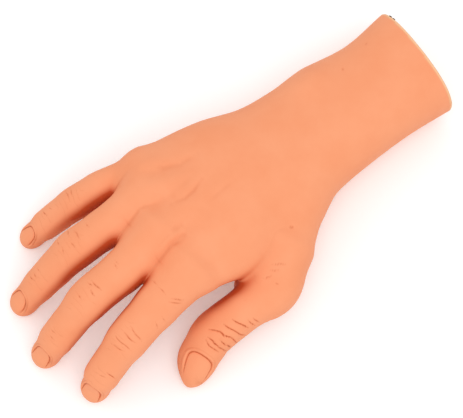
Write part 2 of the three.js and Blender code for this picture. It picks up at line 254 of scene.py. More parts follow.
@dataclass
class Spine:
    """Centre line with a frame at each sample: along it, across it and to the back of the hand.

    place is the distance from the line's first joint, which the samples keep through the bends.
    """

    centers: Array
    along: Array
    across: Array
    place: Array

    CHUNK = 60000

    def __post_init__(self) -> None:
        """Works out the third direction of each frame."""
        self.back = np.cross(self.along, self.across)

    def locate(self, points: Array) -> tuple[Array, Array, Array]:
        """Places of points by the nearest sample, refined between it and its neighbour.

        Args:
            points: Points, one a row.

        Returns:
            The place along the line, across it and to its back.
        """
        starts = range(0, len(points), self.CHUNK)
        half_square = 0.5 * (self.centers**2).sum(1)
        near = [np.argmax(points[i:i + self.CHUNK] @ self.centers.T - half_square, axis=1) for i in starts]
        best = np.concatenate(near)
        offset = ((points - self.centers[best]) * self.along[best]).sum(1)
        other = np.clip(best + np.where(offset > 0, 1, -1), 0, len(self.centers) - 1)
        step = np.linalg.norm(self.centers[other] - self.centers[best], axis=1)
        inside = step > 0
        share = np.where(inside, np.clip(np.abs(offset) / np.maximum(step, TINY), 0, 1), 0)[:, None]
        center = self.centers[best] * (1 - share) + self.centers[other] * share
        across = unit(self.across[best] * (1 - share) + self.across[other] * share)
        back = unit(self.back[best] * (1 - share) + self.back[other] * share)
        place = self.place[best] * (1 - share[:, 0]) + self.place[other] * share[:, 0]
        place = np.where(inside, place, place + offset)
        rest = points - center
        return place, (rest * across).sum(1), (rest * back).sum(1)

    def cap_at(self, at: float, sign: int = 1) -> Cap:
        """Cap of a cut at a place, facing along the line or, with a sign of -1, back along it.

        Args:
            at: Place of the cut.
            sign: Which way the cap faces.

        Returns:
            The cap.
        """
        columns = np.hstack([self.centers, self.along]).T
        row = np.array([np.interp(at, self.place, column) for column in columns])
        return Cap(row[:3], sign * unit(row[3:]))


@dataclass
class Reading:
    """What a tube says about points: distance, place along, place across, and angle from the back."""

    distance: Array
    place: Array
    across: Array
    angle: Array


@dataclass
class Tube:
    """Oval tube along a spine, closed by a dome at both ends."""

    spine: Spine
    stations: Array
    widths: Array
    depths: Array
    domes: tuple[float, float]
    roundness: float = 2.15
    margin: float = 12.0
    point: float = 2.15

    def __post_init__(self) -> None:
        """Works out the box in which the tube matters."""
        reach = self.margin + max(self.widths.max(), self.depths.max()) / 2
        self.low = self.spine.centers.min(0) - reach
        self.high = self.spine.centers.max(0) + reach

    def near(self, points: Array) -> Array:
        """Which points lie in the tube's box."""
        return ((points > self.low) & (points < self.high)).all(1)

    def read(self, points: Array) -> Reading:
        """Distance and places of points, with the section eased between stations and domes past both ends.

        Args:
            points: Points, one a row.

        Returns:
            The reading.
        """
        place, across, back = self.spine.locate(points)
        half_width = eased_between(self.stations, self.widths, place) / 2
        half_depth = eased_between(self.stations, self.depths, place) / 2
        first = self.spine.place[0] + self.domes[0]
        last = self.spine.place[-1] - self.domes[1]
        past = np.where(place < first, place - first, np.maximum(place - last, 0))
        dome = np.where(place < first, *self.domes)
        parts = [(across, half_width), (back, half_depth)]
        angle = np.arctan2(across / half_width, back / half_depth)
        distance = domed_distance(parts, self.roundness, (past, dome), self.point)
        return Reading(distance, place, across, angle)

    def field(self, points: Array, relief: Callable[[Reading], Array] | None = None) -> Array:
        """Distance of points, less a relief if there is one, and a far value outside the tube's box.

        Args:
            points: Points, one a row.
            relief: Gives the heights at a reading's places.

        Returns:
            The values.
        """
        values = np.full(len(points), FAR)
        mask = self.near(points)
        if mask.any():
            reading = self.read(points[mask])
            values[mask] = reading.distance if relief is None else reading.distance - relief(reading)
        return values


@dataclass(frozen=True)
class Wrinkle:
    """Groove on a digit along a broken line.

    Each corner of the line is a place from the joint that the groove belongs to, and an angle round the digit
    in degrees from its back.
    """

    line: tuple[tuple[float, float], ...]
    depth: float
    width: float = 0.36

    GIRTH = 9.0
    SPREAD = 3
    WAVE = 0.16
    WAVE_PACE = 0.9
    WAVE_SHIFT = 9
    END_SHARE = 0.3
    END_LENGTH = 2.4

    def height(self, place: Array, angle: Array) -> Array:
        """Relief below zero: a Gaussian of the way to the line, laid flat, wavy and fading at its ends.

        Args:
            place: Distance past the groove's joint.
            angle: Angle round the digit from its back.

        Returns:
            Heights in millimetres.
        """
        corners = np.array(self.line)
        reach = self.SPREAD * self.width + self.WAVE
        heights = np.zeros(len(place))
        some = (place > corners[:, 0].min() - reach) & (place < corners[:, 0].max() + reach)
        middle = math.radians(corners[:, 1].mean())
        across = self.GIRTH * ((angle[some] - middle + math.pi) % (2 * math.pi) - math.pi)
        corners[:, 1] = self.GIRTH * (np.radians(corners[:, 1]) - middle)
        wave = self.WAVE * np.sin(self.WAVE_PACE * across + self.WAVE_SHIFT * corners[0, 0])
        flat = np.stack([place[some] + wave, across], axis=1)
        rise = ease(distance_to_ends(flat, corners), 0, self.END_LENGTH)
        depth = self.depth * (self.END_SHARE + (1 - self.END_SHARE) * rise)
        heights[some] = -depth * bell(distance_to_line(flat, corners), self.width)
        return heights


@dataclass
class Nail:
    """Nail plate on the back of a tip, in a groove along its cuticle and sides, with a free front edge.

    Each fade is a pair of shares of the plate's length, between which a form comes or goes.
    """

    length: float
    width: float
    sweep: float
    girth: float
    turn: float = 0.0
    slant: float = 0.0
    corner: float = 2.6
    groove: float = 0.75
    groove_width: float = 0.4
    drop: float = 0.45
    fold: float = 0.28
    ledge: float = 0.06
    edge: float = 0.3

    CORNER_UNION = 2.0
    FRONT_BOW = 0.35
    FRONT_RUN = 2.5
    BACK_ANGLES = (1.25, 1.75)
    FOLD_PLACE = 0.95
    FOLD_WIDTH = 0.7
    PLATE_RUN = 0.5
    LEDGE_RUN = 1.2
    GROOVE_FADE = (0.35, 0.75)
    PLATE_FADE = (0.25, 0.7)
    LEDGE_FADE = (0.3, 0.75)

    def rise(self, place: Array, fade: tuple[float, float]) -> Array:
        """Rise from 0 to 1 between two shares of the plate's length."""
        return ease(place, fade[0] * self.length, fade[1] * self.length)

    def height(self, place: Array, angle: Array) -> Array:
        """Relief of the nail, from the distance of each point to the plate's outline laid flat.

        Args:
            place: Distance past the middle of the cuticle.
            angle: Angle round the digit from its back.

        Returns:
            Heights in millimetres: a groove round the plate, a fold outside it, and the plate a little lower.
        """
        angle = angle - math.radians(self.turn)
        across = self.girth * angle
        half = self.width / 2
        share = np.abs(across) / half
        behind = self.sweep * share**self.corner + self.slant * across / half - place
        outline = -soft_min(half - np.abs(across), -behind, self.CORNER_UNION)
        front = place - (self.length - self.edge - self.FRONT_BOW * self.sweep * share**2)
        on_back = 1 - ease(np.abs(angle), *self.BACK_ANGLES)
        before = 1 - ease(front, -self.FRONT_RUN, 0.0)
        fade = 1 - self.rise(place, self.GROOVE_FADE)
        groove = -self.groove * fade * bell(outline, self.groove_width)
        fold = self.fold * fade * bell(outline - self.FOLD_PLACE, self.FOLD_WIDTH)
        plate = -self.drop * ease(-outline, 0.0, self.PLATE_RUN) * (1 - self.rise(place, self.PLATE_FADE))
        ledge = self.ledge * ease(-outline, 0.0, self.LEDGE_RUN) * self.rise(place, self.LEDGE_FADE)
        return on_back * before * (groove + fold + plate + ledge)


@dataclass
class Digit:
    """A digit of the hand: its bends and phalanges, its nail and its wrinkles.

    soft is half the length of each bend's arc. bends are the reaches of the bend pieces to both sides of each
    joint. blends, where each bend would start and stop turning, are not used. Sections are at each joint,
    half way along each phalanx, and at the cuticle. lean slants the first bend's cuts: they move by that much
    along for each step across. reach is how far from the digit's own surface the skin still belongs to its
    first bend. The last section lies a taper's length before the tip's end, which is a dome. sway moves the
    middle line across at some places along it.
    """

    name: str
    joints: tuple[str, ...]
    parts: tuple[str, ...]
    knuckle: tuple[float, float, float]
    knuckle_size: tuple[float, float]
    soft: tuple[float, ...]
    bends: tuple[tuple[float, float], ...]
    blends: tuple[tuple[float, float], ...]
    tip_length: float
    nail: Nail
    sections: tuple[tuple[float, float], ...]
    wrinkles: tuple[tuple[Wrinkle, ...], ...]
    run: float = 8.0
    roll: float = 0.0
    lean: float = 0.0
    reach: float = 6.0
    tip_taper: float = 11.0
    tip_dome: float = 9.0
    point: float = 2.15
    sway: tuple[tuple[float, float], ...] = ((0.0, 0.0), (1.0, 0.0))

    SAMPLE = 0.6
    OWN_REACH = 2.0
    RELIEF_REACH = 3.0
    START_SHARE = 0.75
    END_GAP = 0.2

    def __post_init__(self) -> None:
        """Takes the joints from the frame, and works out the tube."""
        self.hinges = np.array([joint_place(f"{self.name}_{joint}") for joint in self.joints])
        self.axes = np.array([joint_row(f"{self.name}_{joint}")["axis"] for joint in self.joints])
        lengths = np.linalg.norm(np.diff(self.hinges, axis=0), axis=1)
        self.lengths = np.append(lengths, self.tip_length)
        self.marks = np.concatenate([[0], np.cumsum(self.lengths)])
        self.tube = self.make_tube()

    def frames(self) -> tuple[Array, Array]:
        """Directions along and across each stretch: the palm's first, and then each phalanx's.

        Returns:
            The directions along, and the directions across.
        """
        wire = frame["nodes"][f"{self.name}_tip_wire"].data.vertices
        points = np.empty(len(wire) * 3, np.float32)
        wire.foreach_get("co", points)
        tip = points.reshape(-1, 3).mean(0) / MM
        start = drawn(self.knuckle)
        along = unit(np.diff(np.vstack([start, self.hinges, tip]), axis=0))
        level = unit(np.cross((0, 0, 1), along[0]))
        upright = np.cross(along[0], level)
        turn = math.radians(self.roll)
        across = level * math.cos(turn) + upright * math.sin(turn)
        return along, np.vstack([across, self.axes])

    def make_tube(self) -> Tube:
        """The digit's tube: straight stretches, joined by arcs that are quadratic curves about the joints.

        Returns:
            The tube.
        """
        along, across = self.frames()
        knuckle_place = -np.linalg.norm(self.hinges[0] - drawn(self.knuckle))
        rows = [self.straight(knuckle_place - self.run, -self.soft[0], 0, along[0], across[0])]
        last = len(self.joints) - 1
        for k, reach in enumerate(self.soft):
            mark = self.marks[k]
            rows.append(self.arc(k, reach, along[k:k + 2], across[k:k + 2]))
            stop = self.marks[k + 1] if k == last else self.marks[k + 1] - self.soft[k + 1]
            rows.append(self.straight(mark + reach, stop, k, along[k + 1], across[k + 1]))
        centers, forward, sideways, place = (np.concatenate(column) for column in zip(*rows))
        sway = np.array(self.sway)
        centers = centers + sideways * eased_between(sway[:, 0], sway[:, 1], place)[:, None]
        spine = Spine(centers, forward, sideways, place)
        middles = self.marks[:-1] + self.lengths / 2
        middles[-1] = self.marks[-1] - self.tip_taper
        stations = np.stack([self.marks[:-1], middles], axis=1).ravel()
        stations = np.concatenate([[knuckle_place - self.run, knuckle_place], stations])
        sizes = np.array([self.knuckle_size, self.knuckle_size, *self.sections])
        sizes[0] *= self.START_SHARE
        domes = (self.run, self.tip_dome)
        return Tube(spine, stations, sizes[:, 0], sizes[:, 1], domes, point=self.point)

    def straight(
        self, start: float, stop: float, joint: int, along: Array, across: Array
    ) -> tuple[Array, ...]:
        """Samples of a straight stretch, from a place to a place, on the line through a joint.

        Args:
            start: First place.
            stop: Where the next stretch starts.
            joint: Number of the joint.
            along: Direction along the stretch.
            across: Direction across it.

        Returns:
            The samples' centres, directions along and across, and places.
        """
        place = np.arange(start, stop - self.END_GAP * self.SAMPLE, self.SAMPLE)
        place = np.append(place, stop) if stop == self.marks[-1] else place
        centers = self.hinges[joint] + (place - self.marks[joint])[:, None] * along
        ones = np.ones((len(place), 1))
        return centers, ones * along, ones * across, place

    def arc(self, joint: int, reach: float, along: Array, across: Array) -> tuple[Array, ...]:
        """Samples of the bend round a joint: a quadratic curve, with a frame that turns from end to end.

        Args:
            joint: Number of the joint.
            reach: Half the length of the arc.
            along: Directions along before and after the joint.
            across: Directions across before and after it.

        Returns:
            The samples' centres, directions along and across, and places.
        """
        count = int(2 * reach / self.SAMPLE)
        t = (np.arange(count) / count)[:, None]
        hinge = self.hinges[joint]
        start, stop = hinge - reach * along[0], hinge + reach * along[1]
        centers = (1 - t) ** 2 * start + 2 * t * (1 - t) * hinge + t**2 * stop
        forward = unit((1 - t) * along[0] + t * along[1])
        sideways = (1 - t) * across[0] + t * across[1]
        sideways = unit(sideways - (sideways * forward).sum(1, keepdims=True) * forward)
        return centers, forward, sideways, self.marks[joint] + (2 * t[:, 0] - 1) * reach

    def cuts(self) -> Array:
        """Places where the digit is cut into pieces: both ends of each bend piece."""
        return np.concatenate([mark + np.array(bend) for mark, bend in zip(self.marks, self.bends)])

    def piece_of(self, reading: Reading) -> Array:
        """Number of the digit's piece at a reading's places, and -1 where they aren't the digit's.

        Args:
            reading: What the digit's tube says about points.

        Returns:
            The numbers.
        """
        cuts = self.cuts()
        slanted = reading.place + self.lean * reading.across
        number = np.where(slanted < cuts[1], 0, 1 + np.searchsorted(cuts[2:], reading.place))
        reach = np.where(number == 0, self.reach, self.OWN_REACH)
        return np.where((slanted > cuts[0]) & (reading.distance < reach), number, -1)

    def piece_names(self) -> list[str]:
        """Names of the digit's pieces from the palm to the tip, a bend and a stiff stretch in turn."""
        pairs = zip(self.joints, self.parts)
        return [f"{self.name}_{end}" for joint, part in pairs for end in (f"{joint}_bend", f"{part}_skin")]

    def relief(self, reading: Reading) -> Array:
        """Heights of the nail and the wrinkles at a reading's places, where they are near the surface.

        Args:
            reading: What the digit's tube says about points.

        Returns:
            Heights in millimetres.
        """
        heights = np.zeros(len(reading.place))
        near = np.abs(reading.distance) < self.RELIEF_REACH
        place, angle = reading.place[near], reading.angle[near]
        total = self.nail.height(place - (self.marks[-1] - self.nail.length), angle)
        for mark, group in zip(self.marks, self.wrinkles):
            for wrinkle in group:
                total += wrinkle.height(place - mark, angle)
        heights[near] = total
        return heights

    def field(self, points: Array) -> Array:
        """Field of the digit with its relief, and a far value outside its box."""
        return self.tube.field(points, self.relief)


@dataclass(frozen=True)
class Ridge:
    """Soft ridge, or a groove where its height is below zero, along a line drawn on one face of the hand."""

    points: tuple[tuple[float, float], ...]
    height: float
    width: float
    side: Side = Side.BACK

    SPREAD = 3
    END_SHARE = 0.4
    FADE = 0.35

    def heights(self, points: Array) -> Array:
        """Heights by a Gaussian of the way to the line, seen from above. A long line fades at its ends.

        Args:
            points: Points, one a row.

        Returns:
            Heights in millimetres.
        """
        line = np.asarray(self.points) + ORIGIN[:2]
        flat = points[:, :2]
        reach = self.SPREAD * self.width
        some = ((flat > line.min(0) - reach) & (flat < line.max(0) + reach)).all(1)
        flat = flat[some]
        along = np.linalg.norm(np.diff(line, axis=0), axis=1).sum()
        fade = 1.0
        if along > reach:
            rise = ease(distance_to_ends(flat, line), 0, self.FADE * along)
            fade = self.END_SHARE + (1 - self.END_SHARE) * rise
        heights = np.zeros(len(points))
        heights[some] = self.height * fade * bell(distance_to_line(flat, line), self.width)
        return heights


@dataclass
class Palm:
    """Forearm and palm: oval sections along X, the thumb base, and the relief on the back and the palm side.

    Each row is a section: its place along X, its little-finger edge, its thumb edge, its underside and back.
    """

    rows: tuple[tuple[float, ...], ...]
    thumb_base: tuple[tuple[float, ...], ...]
    ridges: tuple[Ridge, ...]
    cut_slant: float = 3.0
    cut_lean: float = 4.0
    roundness: float = 2.3
    end_dome: float = 7.0
    wall: float = 2.4
    base_union: float = 7.0
    base_domes: tuple[float, float] = (10.0, 6.0)
    base_roundness: float = 2.2
    base_margin: float = 16.0

    BASE_STEP = 1.0
    FACE = (0.1, 0.6)

    def __post_init__(self) -> None:
        """Puts the sections in the frame, and works out the cut's slopes and the thumb base's tube."""
        self.table = np.array(self.rows) + ORIGIN[[0, 1, 1, 2, 2]]
        self.cut_slopes = [math.tan(math.radians(turn)) for turn in (self.cut_slant, self.cut_lean)]
        self.base = self.make_base()

    def make_base(self) -> Tube:
        """Tube of the thumb base, along a cubic through the drawn places.

        Returns:
            The tube.
        """
        table = np.array(self.thumb_base)
        knots = drawn(table[:, :3])
        chord = np.concatenate([[0], np.cumsum(np.linalg.norm(np.diff(knots, axis=0), axis=1))])
        place = np.arange(0, chord[-1], self.BASE_STEP)
        centers = np.stack([curve_through(chord, knots[:, axis], place) for axis in range(3)], axis=1)
        along = unit(np.gradient(centers, axis=0))
        across = unit(np.cross((0, 0, 1), along))
        spine = Spine(centers, along, across, place)
        sizes = (table[:, 3], table[:, 4], self.base_domes, self.base_roundness, self.base_margin)
        return Tube(spine, chord, *sizes)

    def section(self, x: Array) -> tuple[Array, Array, Array, Array]:
        """Middle and half size of the section at a place along X: across, up, half width and half depth.

        Args:
            x: Places along X.

        Returns:
            Middle across, middle up, half width and half depth.
        """
        stations, *edges = self.table.T
        ulnar, radial, bottom, top = (curve_through(stations, edge, x) for edge in edges)
        return (ulnar + radial) / 2, (bottom + top) / 2, (radial - ulnar) / 2, (top - bottom) / 2

    def ring_at(self, x: Array, shares: Array, inset: float) -> Array:
        """Points at places along X and at shares of the section's half sizes, less an inset.

        Args:
            x: Places along X.
            shares: Shares across and up.
            inset: How much smaller the half sizes are.

        Returns:
            The points.
        """
        middle_y, middle_z, half_y, half_z = self.section(x)
        y = middle_y + shares[:, 0] * (half_y - inset)
        z = middle_z + shares[:, 1] * (half_z - inset)
        return np.stack([x, y, z], axis=1)

    def shares_of(self, points: Array, inset: float) -> Array:
        """Where points lie in their sections, as shares of the half sizes less an inset.

        Args:
            points: Points, one a row.
            inset: How much smaller the half sizes are.

        Returns:
            Shares across and up.
        """
        middle_y, middle_z, half_y, half_z = self.section(points[:, 0])
        across, up = points[:, 1] - middle_y, points[:, 2] - middle_z
        return np.stack([across / (half_y - inset), up / (half_z - inset)], axis=1)

    def past_cut(self, points: Array) -> Array:
        """Distance of points along X past the slanted plane of the cut, towards the fingers.

        Args:
            points: Points along the last axis.

        Returns:
            The distances.
        """
        row = self.table[0]
        slant = self.cut_slopes[0] * (points[..., 1] - (row[1] + row[2]) / 2)
        lean = self.cut_slopes[1] * (points[..., 2] - (row[3] + row[4]) / 2)
        return points[..., 0] - (row[0] + slant + lean)

    def relief(self, points: Array, up: Array) -> Array:
        """Heights of the ridges and creases, each on its own face of the hand.

        Args:
            points: Points near the surface.
            up: Height of each point over the section's middle, as a share of its half depth.

        Returns:
            Heights in millimetres.
        """
        heights = np.zeros(len(points))
        faces = {side: ease(side.value * up, *self.FACE) for side in Side}
        for ridge in self.ridges:
            heights += faces[ridge.side] * ridge.heights(points)
        return heights

    def field(self, points: Array) -> Array:
        """Field of the forearm and palm joined with the thumb base, with the relief.

        Args:
            points: Points, one a row.

        Returns:
            The values.
        """
        middle_y, middle_z, half_y, half_z = self.section(points[:, 0])
        past = np.maximum(points[:, 0] - self.table[-1, 0], 0)
        across, up = points[:, 1] - middle_y, points[:, 2] - middle_z
        parts = [(across, half_y), (up, half_z), (past, np.full(len(past), self.end_dome))]
        values = oval_distance(parts, self.roundness)
        values = soft_min(values, self.base.field(points), self.base_union)
        return values - self.relief(points, up / half_z)


@dataclass(frozen=True)
class Web:
    """Skin between two digits: a rod from inside the palm to the web's edge, thinner towards the edge."""

    start: tuple[float, float, float]
    end: tuple[float, float, float]
    radii: tuple[float, float]

    def field(self, points: Array) -> Array:
        """Distance to the rod, whose radius runs evenly from one end to the other.

        Args:
            points: Points, one a row.

        Returns:
            The values.
        """
        a, b = drawn(self.start), drawn(self.end)
        t = np.clip(((points - a) @ (b - a)) / ((b - a) @ (b - a)), 0, 1)
        radius = self.radii[0] + (self.radii[1] - self.radii[0]) * t
        return np.linalg.norm(points - a - t[:, None] * (b - a), axis=1) - radius


@dataclass
class Net:
    """Surface of quads: vertices, one a row, and the four corners of each face."""

    points: Array
    faces: Array

    def part(self, mask: Array) -> "Net":
        """The faces that a mask keeps, with only their own vertices."""
        used, faces = np.unique(self.faces[mask], return_inverse=True)
        return Net(self.points[used], faces.reshape(-1, 4))

    def centers(self) -> Array:
        """Middle of each face."""
        return self.points[self.faces].mean(1)

    def sides(self) -> Array:
        """Edges of every face in turn, as pairs of vertices in the order that the face has them."""
        return np.stack([self.faces, np.roll(self.faces, -1, axis=1)], axis=2).reshape(-1, 2)

    def split(self) -> tuple["Net", Array]:
        """Every quad cut into four, with new vertices at the middles of its edges and of itself.

        Returns:
            The finer net, and the ends of the edges whose middles follow the old vertices, in their order.
        """
        corners = self.faces
        edges, index = np.unique(np.sort(self.sides(), axis=1), axis=0, return_inverse=True)
        middle = index.reshape(-1, 4) + len(self.points)
        heart = np.arange(len(corners)) + len(self.points) + len(edges)
        points = np.vstack([self.points, self.points[edges].mean(1), self.centers()])
        quads = [np.stack([corners[:, k], middle[:, k], heart, middle[:, k - 1]], axis=1) for k in range(4)]
        return Net(points, np.concatenate(quads)), edges

    def rim(self) -> Array:
        """Edges of only one face, as pairs of vertices in the order that the face has them.

        Returns:
            The edges.
        """
        pairs = self.sides()
        count = len(self.points)
        forward = pairs[:, 0] * count + pairs[:, 1]
        backward = pairs[:, 1] * count + pairs[:, 0]
        return pairs[~np.isin(forward, backward)]


@dataclass
class Netter:
    """Nets the zero level of a field: one vertex in each grid cell that the surface crosses.

    The grid is made of blocks. Only blocks near the surface are worked out. The rest take their block's sign.
    """

    low: Array
    high: Array
    step: float
    block: int = 6

    BATCH = 1500
    NEAR_BLOCKS = 1.25
    NEAR_MORE = 1.5

    def values(self, surface: Field) -> Array:
        """Values of the field on the grid.

        Args:
            surface: The field.

        Returns:
            The values.
        """
        size = self.block * self.step
        counts = np.ceil((self.high - self.low) / size).astype(int)
        index = lattice(*(np.arange(n) for n in counts)).reshape(-1, 3)
        middle = surface(self.low + (index + 0.5) * size)
        grid = np.empty((len(index), self.block, self.block, self.block), np.float32)
        grid[:] = np.sign(middle)[:, None, None, None]
        close = np.flatnonzero(np.abs(middle) < self.NEAR_BLOCKS * size + self.NEAR_MORE)
        ticks = np.arange(self.block) * self.step
        inner = lattice(ticks, ticks, ticks)
        for start in range(0, len(close), self.BATCH):
            some = close[start:start + self.BATCH]
            points = self.low + index[some, None, None, None] * size + inner
            grid[some] = surface(points.reshape(-1, 3)).reshape(len(some), *[self.block] * 3)
        grid = grid.reshape(*counts, *[self.block] * 3).transpose(0, 3, 1, 4, 2, 5)
        return grid.reshape(counts * self.block)

    def net(self, surface: Field) -> Net:
        """Quads across every grid edge whose ends differ in sign, between the cells round it.

        Args:
            surface: The field.

        Returns:
            The net.
        """
        grid = self.values(surface)
        inside = grid < 0
        counts = np.array(grid.shape) - 1
        corner = lattice((0, 1), (0, 1), (0, 1)).reshape(-1, 3)
        count = len(corner)
        views = [inside[i:i + counts[0], j:j + counts[1], k:k + counts[2]] for i, j, k in corner]
        total = sum(view.astype(np.int8) for view in views)
        cells = np.argwhere((total > 0) & (total < count))
        ids = np.full(counts, -1)
        ids[tuple(cells.T)] = np.arange(len(cells))
        at_corner = np.stack([grid[tuple((cells + c).T)] for c in corner], axis=1)
        place, weight = np.zeros((len(cells), 3)), np.zeros((len(cells), 1))
        for a in range(count):
            for b in (n for n in range(a + 1, count) if np.abs(corner[n] - corner[a]).sum() == 1):
                crossing = (at_corner[:, a] < 0) != (at_corner[:, b] < 0)
                t = np.where(crossing, at_corner[:, a] / (at_corner[:, a] - at_corner[:, b] + ~crossing), 0)
                place += crossing[:, None] * (corner[a] + t[:, None] * (corner[b] - corner[a]))
                weight += crossing[:, None]
        points = self.low + (cells + place / weight) * self.step
        quads = [self.quads_along(axis, inside, ids) for axis in range(3)]
        return Net(points, np.concatenate(quads))

    @staticmethod
    def quads_along(axis: int, inside: Array, ids: Array) -> Array:
        """Quads across the crossed grid edges of one direction, turned so that they face outwards.

        Args:
            axis: Number of the direction.
            inside: Whether each grid point is inside.
            ids: Number of each cell's vertex.

        Returns:
            The quads.
        """
        ends = np.moveaxis(inside, axis, 0)
        cells = np.moveaxis(ids, axis, 0)
        crossed = ends[1:] != ends[:-1]
        i, j, k = np.nonzero(crossed[:, 1:-1, 1:-1])
        j, k = j + 1, k + 1
        around = ((-1, -1), (0, -1), (0, 0), (-1, 0))
        quads = np.stack([cells[i, j + a, k + b] for a, b in around], axis=1)
        turned = ends[i, j, k] ^ (axis == 1)
        return np.where(turned[:, None], quads, quads[:, ::-1])


def slope_of(surface: Field, points: Array) -> tuple[Array, Array]:
    """Value and slope of a field at points, from four samples at the corners of a small tetrahedron.

    Args:
        surface: The field.
        points: Points, one a row.

    Returns:
        The value and the gradient at each point.
    """
    reach = 0.12
    corners = np.array([(1, 1, 1), (1, -1, -1), (-1, 1, -1), (-1, -1, 1)], float)
    samples = [surface(points + reach * corner) for corner in corners]
    gradient = sum(value[:, None] * corner for value, corner in zip(samples, corners)) / (4 * reach)
    return sum(samples) / 4, gradient


def settle(surface: Field, points: Array, rounds: int = 3) -> tuple[Array, Array]:
    """Moves points onto the zero level of a field along its slope.

    Args:
        surface: The field.
        points: Points near its zero level.
        rounds: How many steps to take.

    Returns:
        The moved points, and the direction out of the surface at each.
    """
    most, least_slope = 0.6, 0.2
    for _ in range(rounds):
        value, gradient = slope_of(surface, points)
        step = np.clip(value / np.maximum((gradient**2).sum(1), least_slope), -most, most)
        points = points - step[:, None] * gradient
    return points, unit(slope_of(surface, points)[1])


def add_object(name: str, data: bpy.types.ID) -> Thing:
    """New object of a mesh, a light or a camera, linked to the scene.

    Args:
        name: Name of the object.
        data: What it shows.

    Returns:
        The object.
    """
    thing = bpy.data.objects.new(name, data)
    bpy.context.scene.collection.objects.link(thing)
    return thing


def make_object(name: str, points: Array, polygons: list[Array], normals: Array, painted_tones: Array) -> Thing:
    """New object from arrays, in metres, with its own normals and its attributes of painted shade and painted
    highlight.

    Args:
        name: Name of the piece.
        points: Vertices in millimetres.
        polygons: Arrays of faces, each with its own count of corners.
        normals: Direction out of the surface at each vertex.
        painted_tones: How far each tone holds at each vertex, from 0 to 1.

    Returns:
        The object, linked to the scene.
    """
    mesh = bpy.data.meshes.new(name)
    mesh.vertices.add(len(points))
    mesh.vertices.foreach_set("co", (points * MM).astype(np.float32).ravel())
    corners = np.concatenate([faces.ravel() for faces in polygons]).astype(np.int32)
    totals = np.concatenate([np.full(len(faces), faces.shape[1]) for faces in polygons]).astype(np.int32)
    mesh.loops.add(len(corners))
    mesh.loops.foreach_set("vertex_index", corners)
    mesh.polygons.add(len(totals))
    mesh.polygons.foreach_set("loop_start", np.concatenate([[0], np.cumsum(totals)[:-1]]).astype(np.int32))
    mesh.update(calc_edges=True)
    mesh.polygons.foreach_set("use_smooth", np.ones(len(totals), bool))
    for tone, values in zip(PAINTED_LIGHT_TONES, painted_tones.T):
        mesh.attributes.new(tone, "FLOAT", "POINT").data.foreach_set("value", values.astype(np.float32))
    mesh.normals_split_custom_set_from_vertices(normals.astype(np.float32))
    return add_object(name, mesh)


def inner_point(rim: Array, normals: Array, start: Array) -> Array:
    """Place near a start that looks on a rim from within the skin, the best of a grid of places.

    Each place is judged by the rim's worst point: the cosine from its way there to its way inwards.

    Args:
        rim: Points of the rim.
        normals: Direction out of the skin at each.
        start: Middle of the grid.

    Returns:
        The place.
    """
    reach, count = 12, 9
    ticks = np.linspace(-reach, reach, count)
    tries = start + lattice(ticks, ticks, ticks).reshape(-1, 3)
    worst = np.array([(unit(rim - place) * normals).sum(1).min() for place in tries])
    LOG.info("cap's worst cosine %.2f", worst.max())
    return tries[worst.argmax()]


@dataclass
class Shell:
    """Closed surface of a piece in the making: its net, directions, tones, and faces added to close it."""

    net: Net
    normals: Array
    painted_tones: Array
    extra: list[Array] = field(default_factory=list)

    def add_points(self, points: Array, normals: Array) -> Array:
        """Adds vertices out of sight, and gives their numbers.

        Args:
            points: The vertices.
            normals: Direction out of the surface at each.

        Returns:
            Their numbers.
        """
        first = len(self.net.points)
        self.net = Net(np.vstack([self.net.points, points]), self.net.faces)
        self.normals = np.vstack([self.normals, normals])
        self.painted_tones = np.vstack([self.painted_tones, np.zeros((len(points), len(PAINTED_LIGHT_TONES)))])
        return np.arange(first, first + len(points))

    def close(self, edges: Array, labels: Array, caps: list[Cap]) -> None:
        """Closes open loops with fans, each from its edges to the middle of its cap.

        Args:
            edges: Open edges, in the order that their faces have them.
            labels: Which cap each edge belongs to.
            caps: The caps.
        """
        rows = np.array([(cap.middle, cap.outward) for cap in caps])
        middles = self.add_points(rows[:, 0], rows[:, 1])
        self.extra.append(np.stack([edges[:, 1], edges[:, 0], middles[labels]], axis=1))

    def make(self, name: str, slot: Slot, material: Material) -> Thing:
        """The finished object with its material, standing for the solid of the same name.

        Args:
            name: Name of the solid.
            slot: Its material slot; not used.
            material: The finish.

        Returns:
            The object.
        """
        faces = [self.net.faces, *self.extra]
        piece = make_object(f"{name}_formed", self.net.points, faces, self.normals, self.painted_tones)
        return finish_piece(piece, name, material)


def finish_piece(piece: Thing, node: str, material: Material) -> Thing:
    """Gives a piece its material, and hides the solid that it stands for.

    Args:
        piece: The object.
        node: Name of the solid.
        material: The finish.

    Returns:
        The same object.
    """
    piece.data.materials.append(material)
    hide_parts(node)
    LOG.info("%s: %d vertices, %d faces", piece.name, len(piece.data.vertices), len(piece.data.polygons))
    return piece


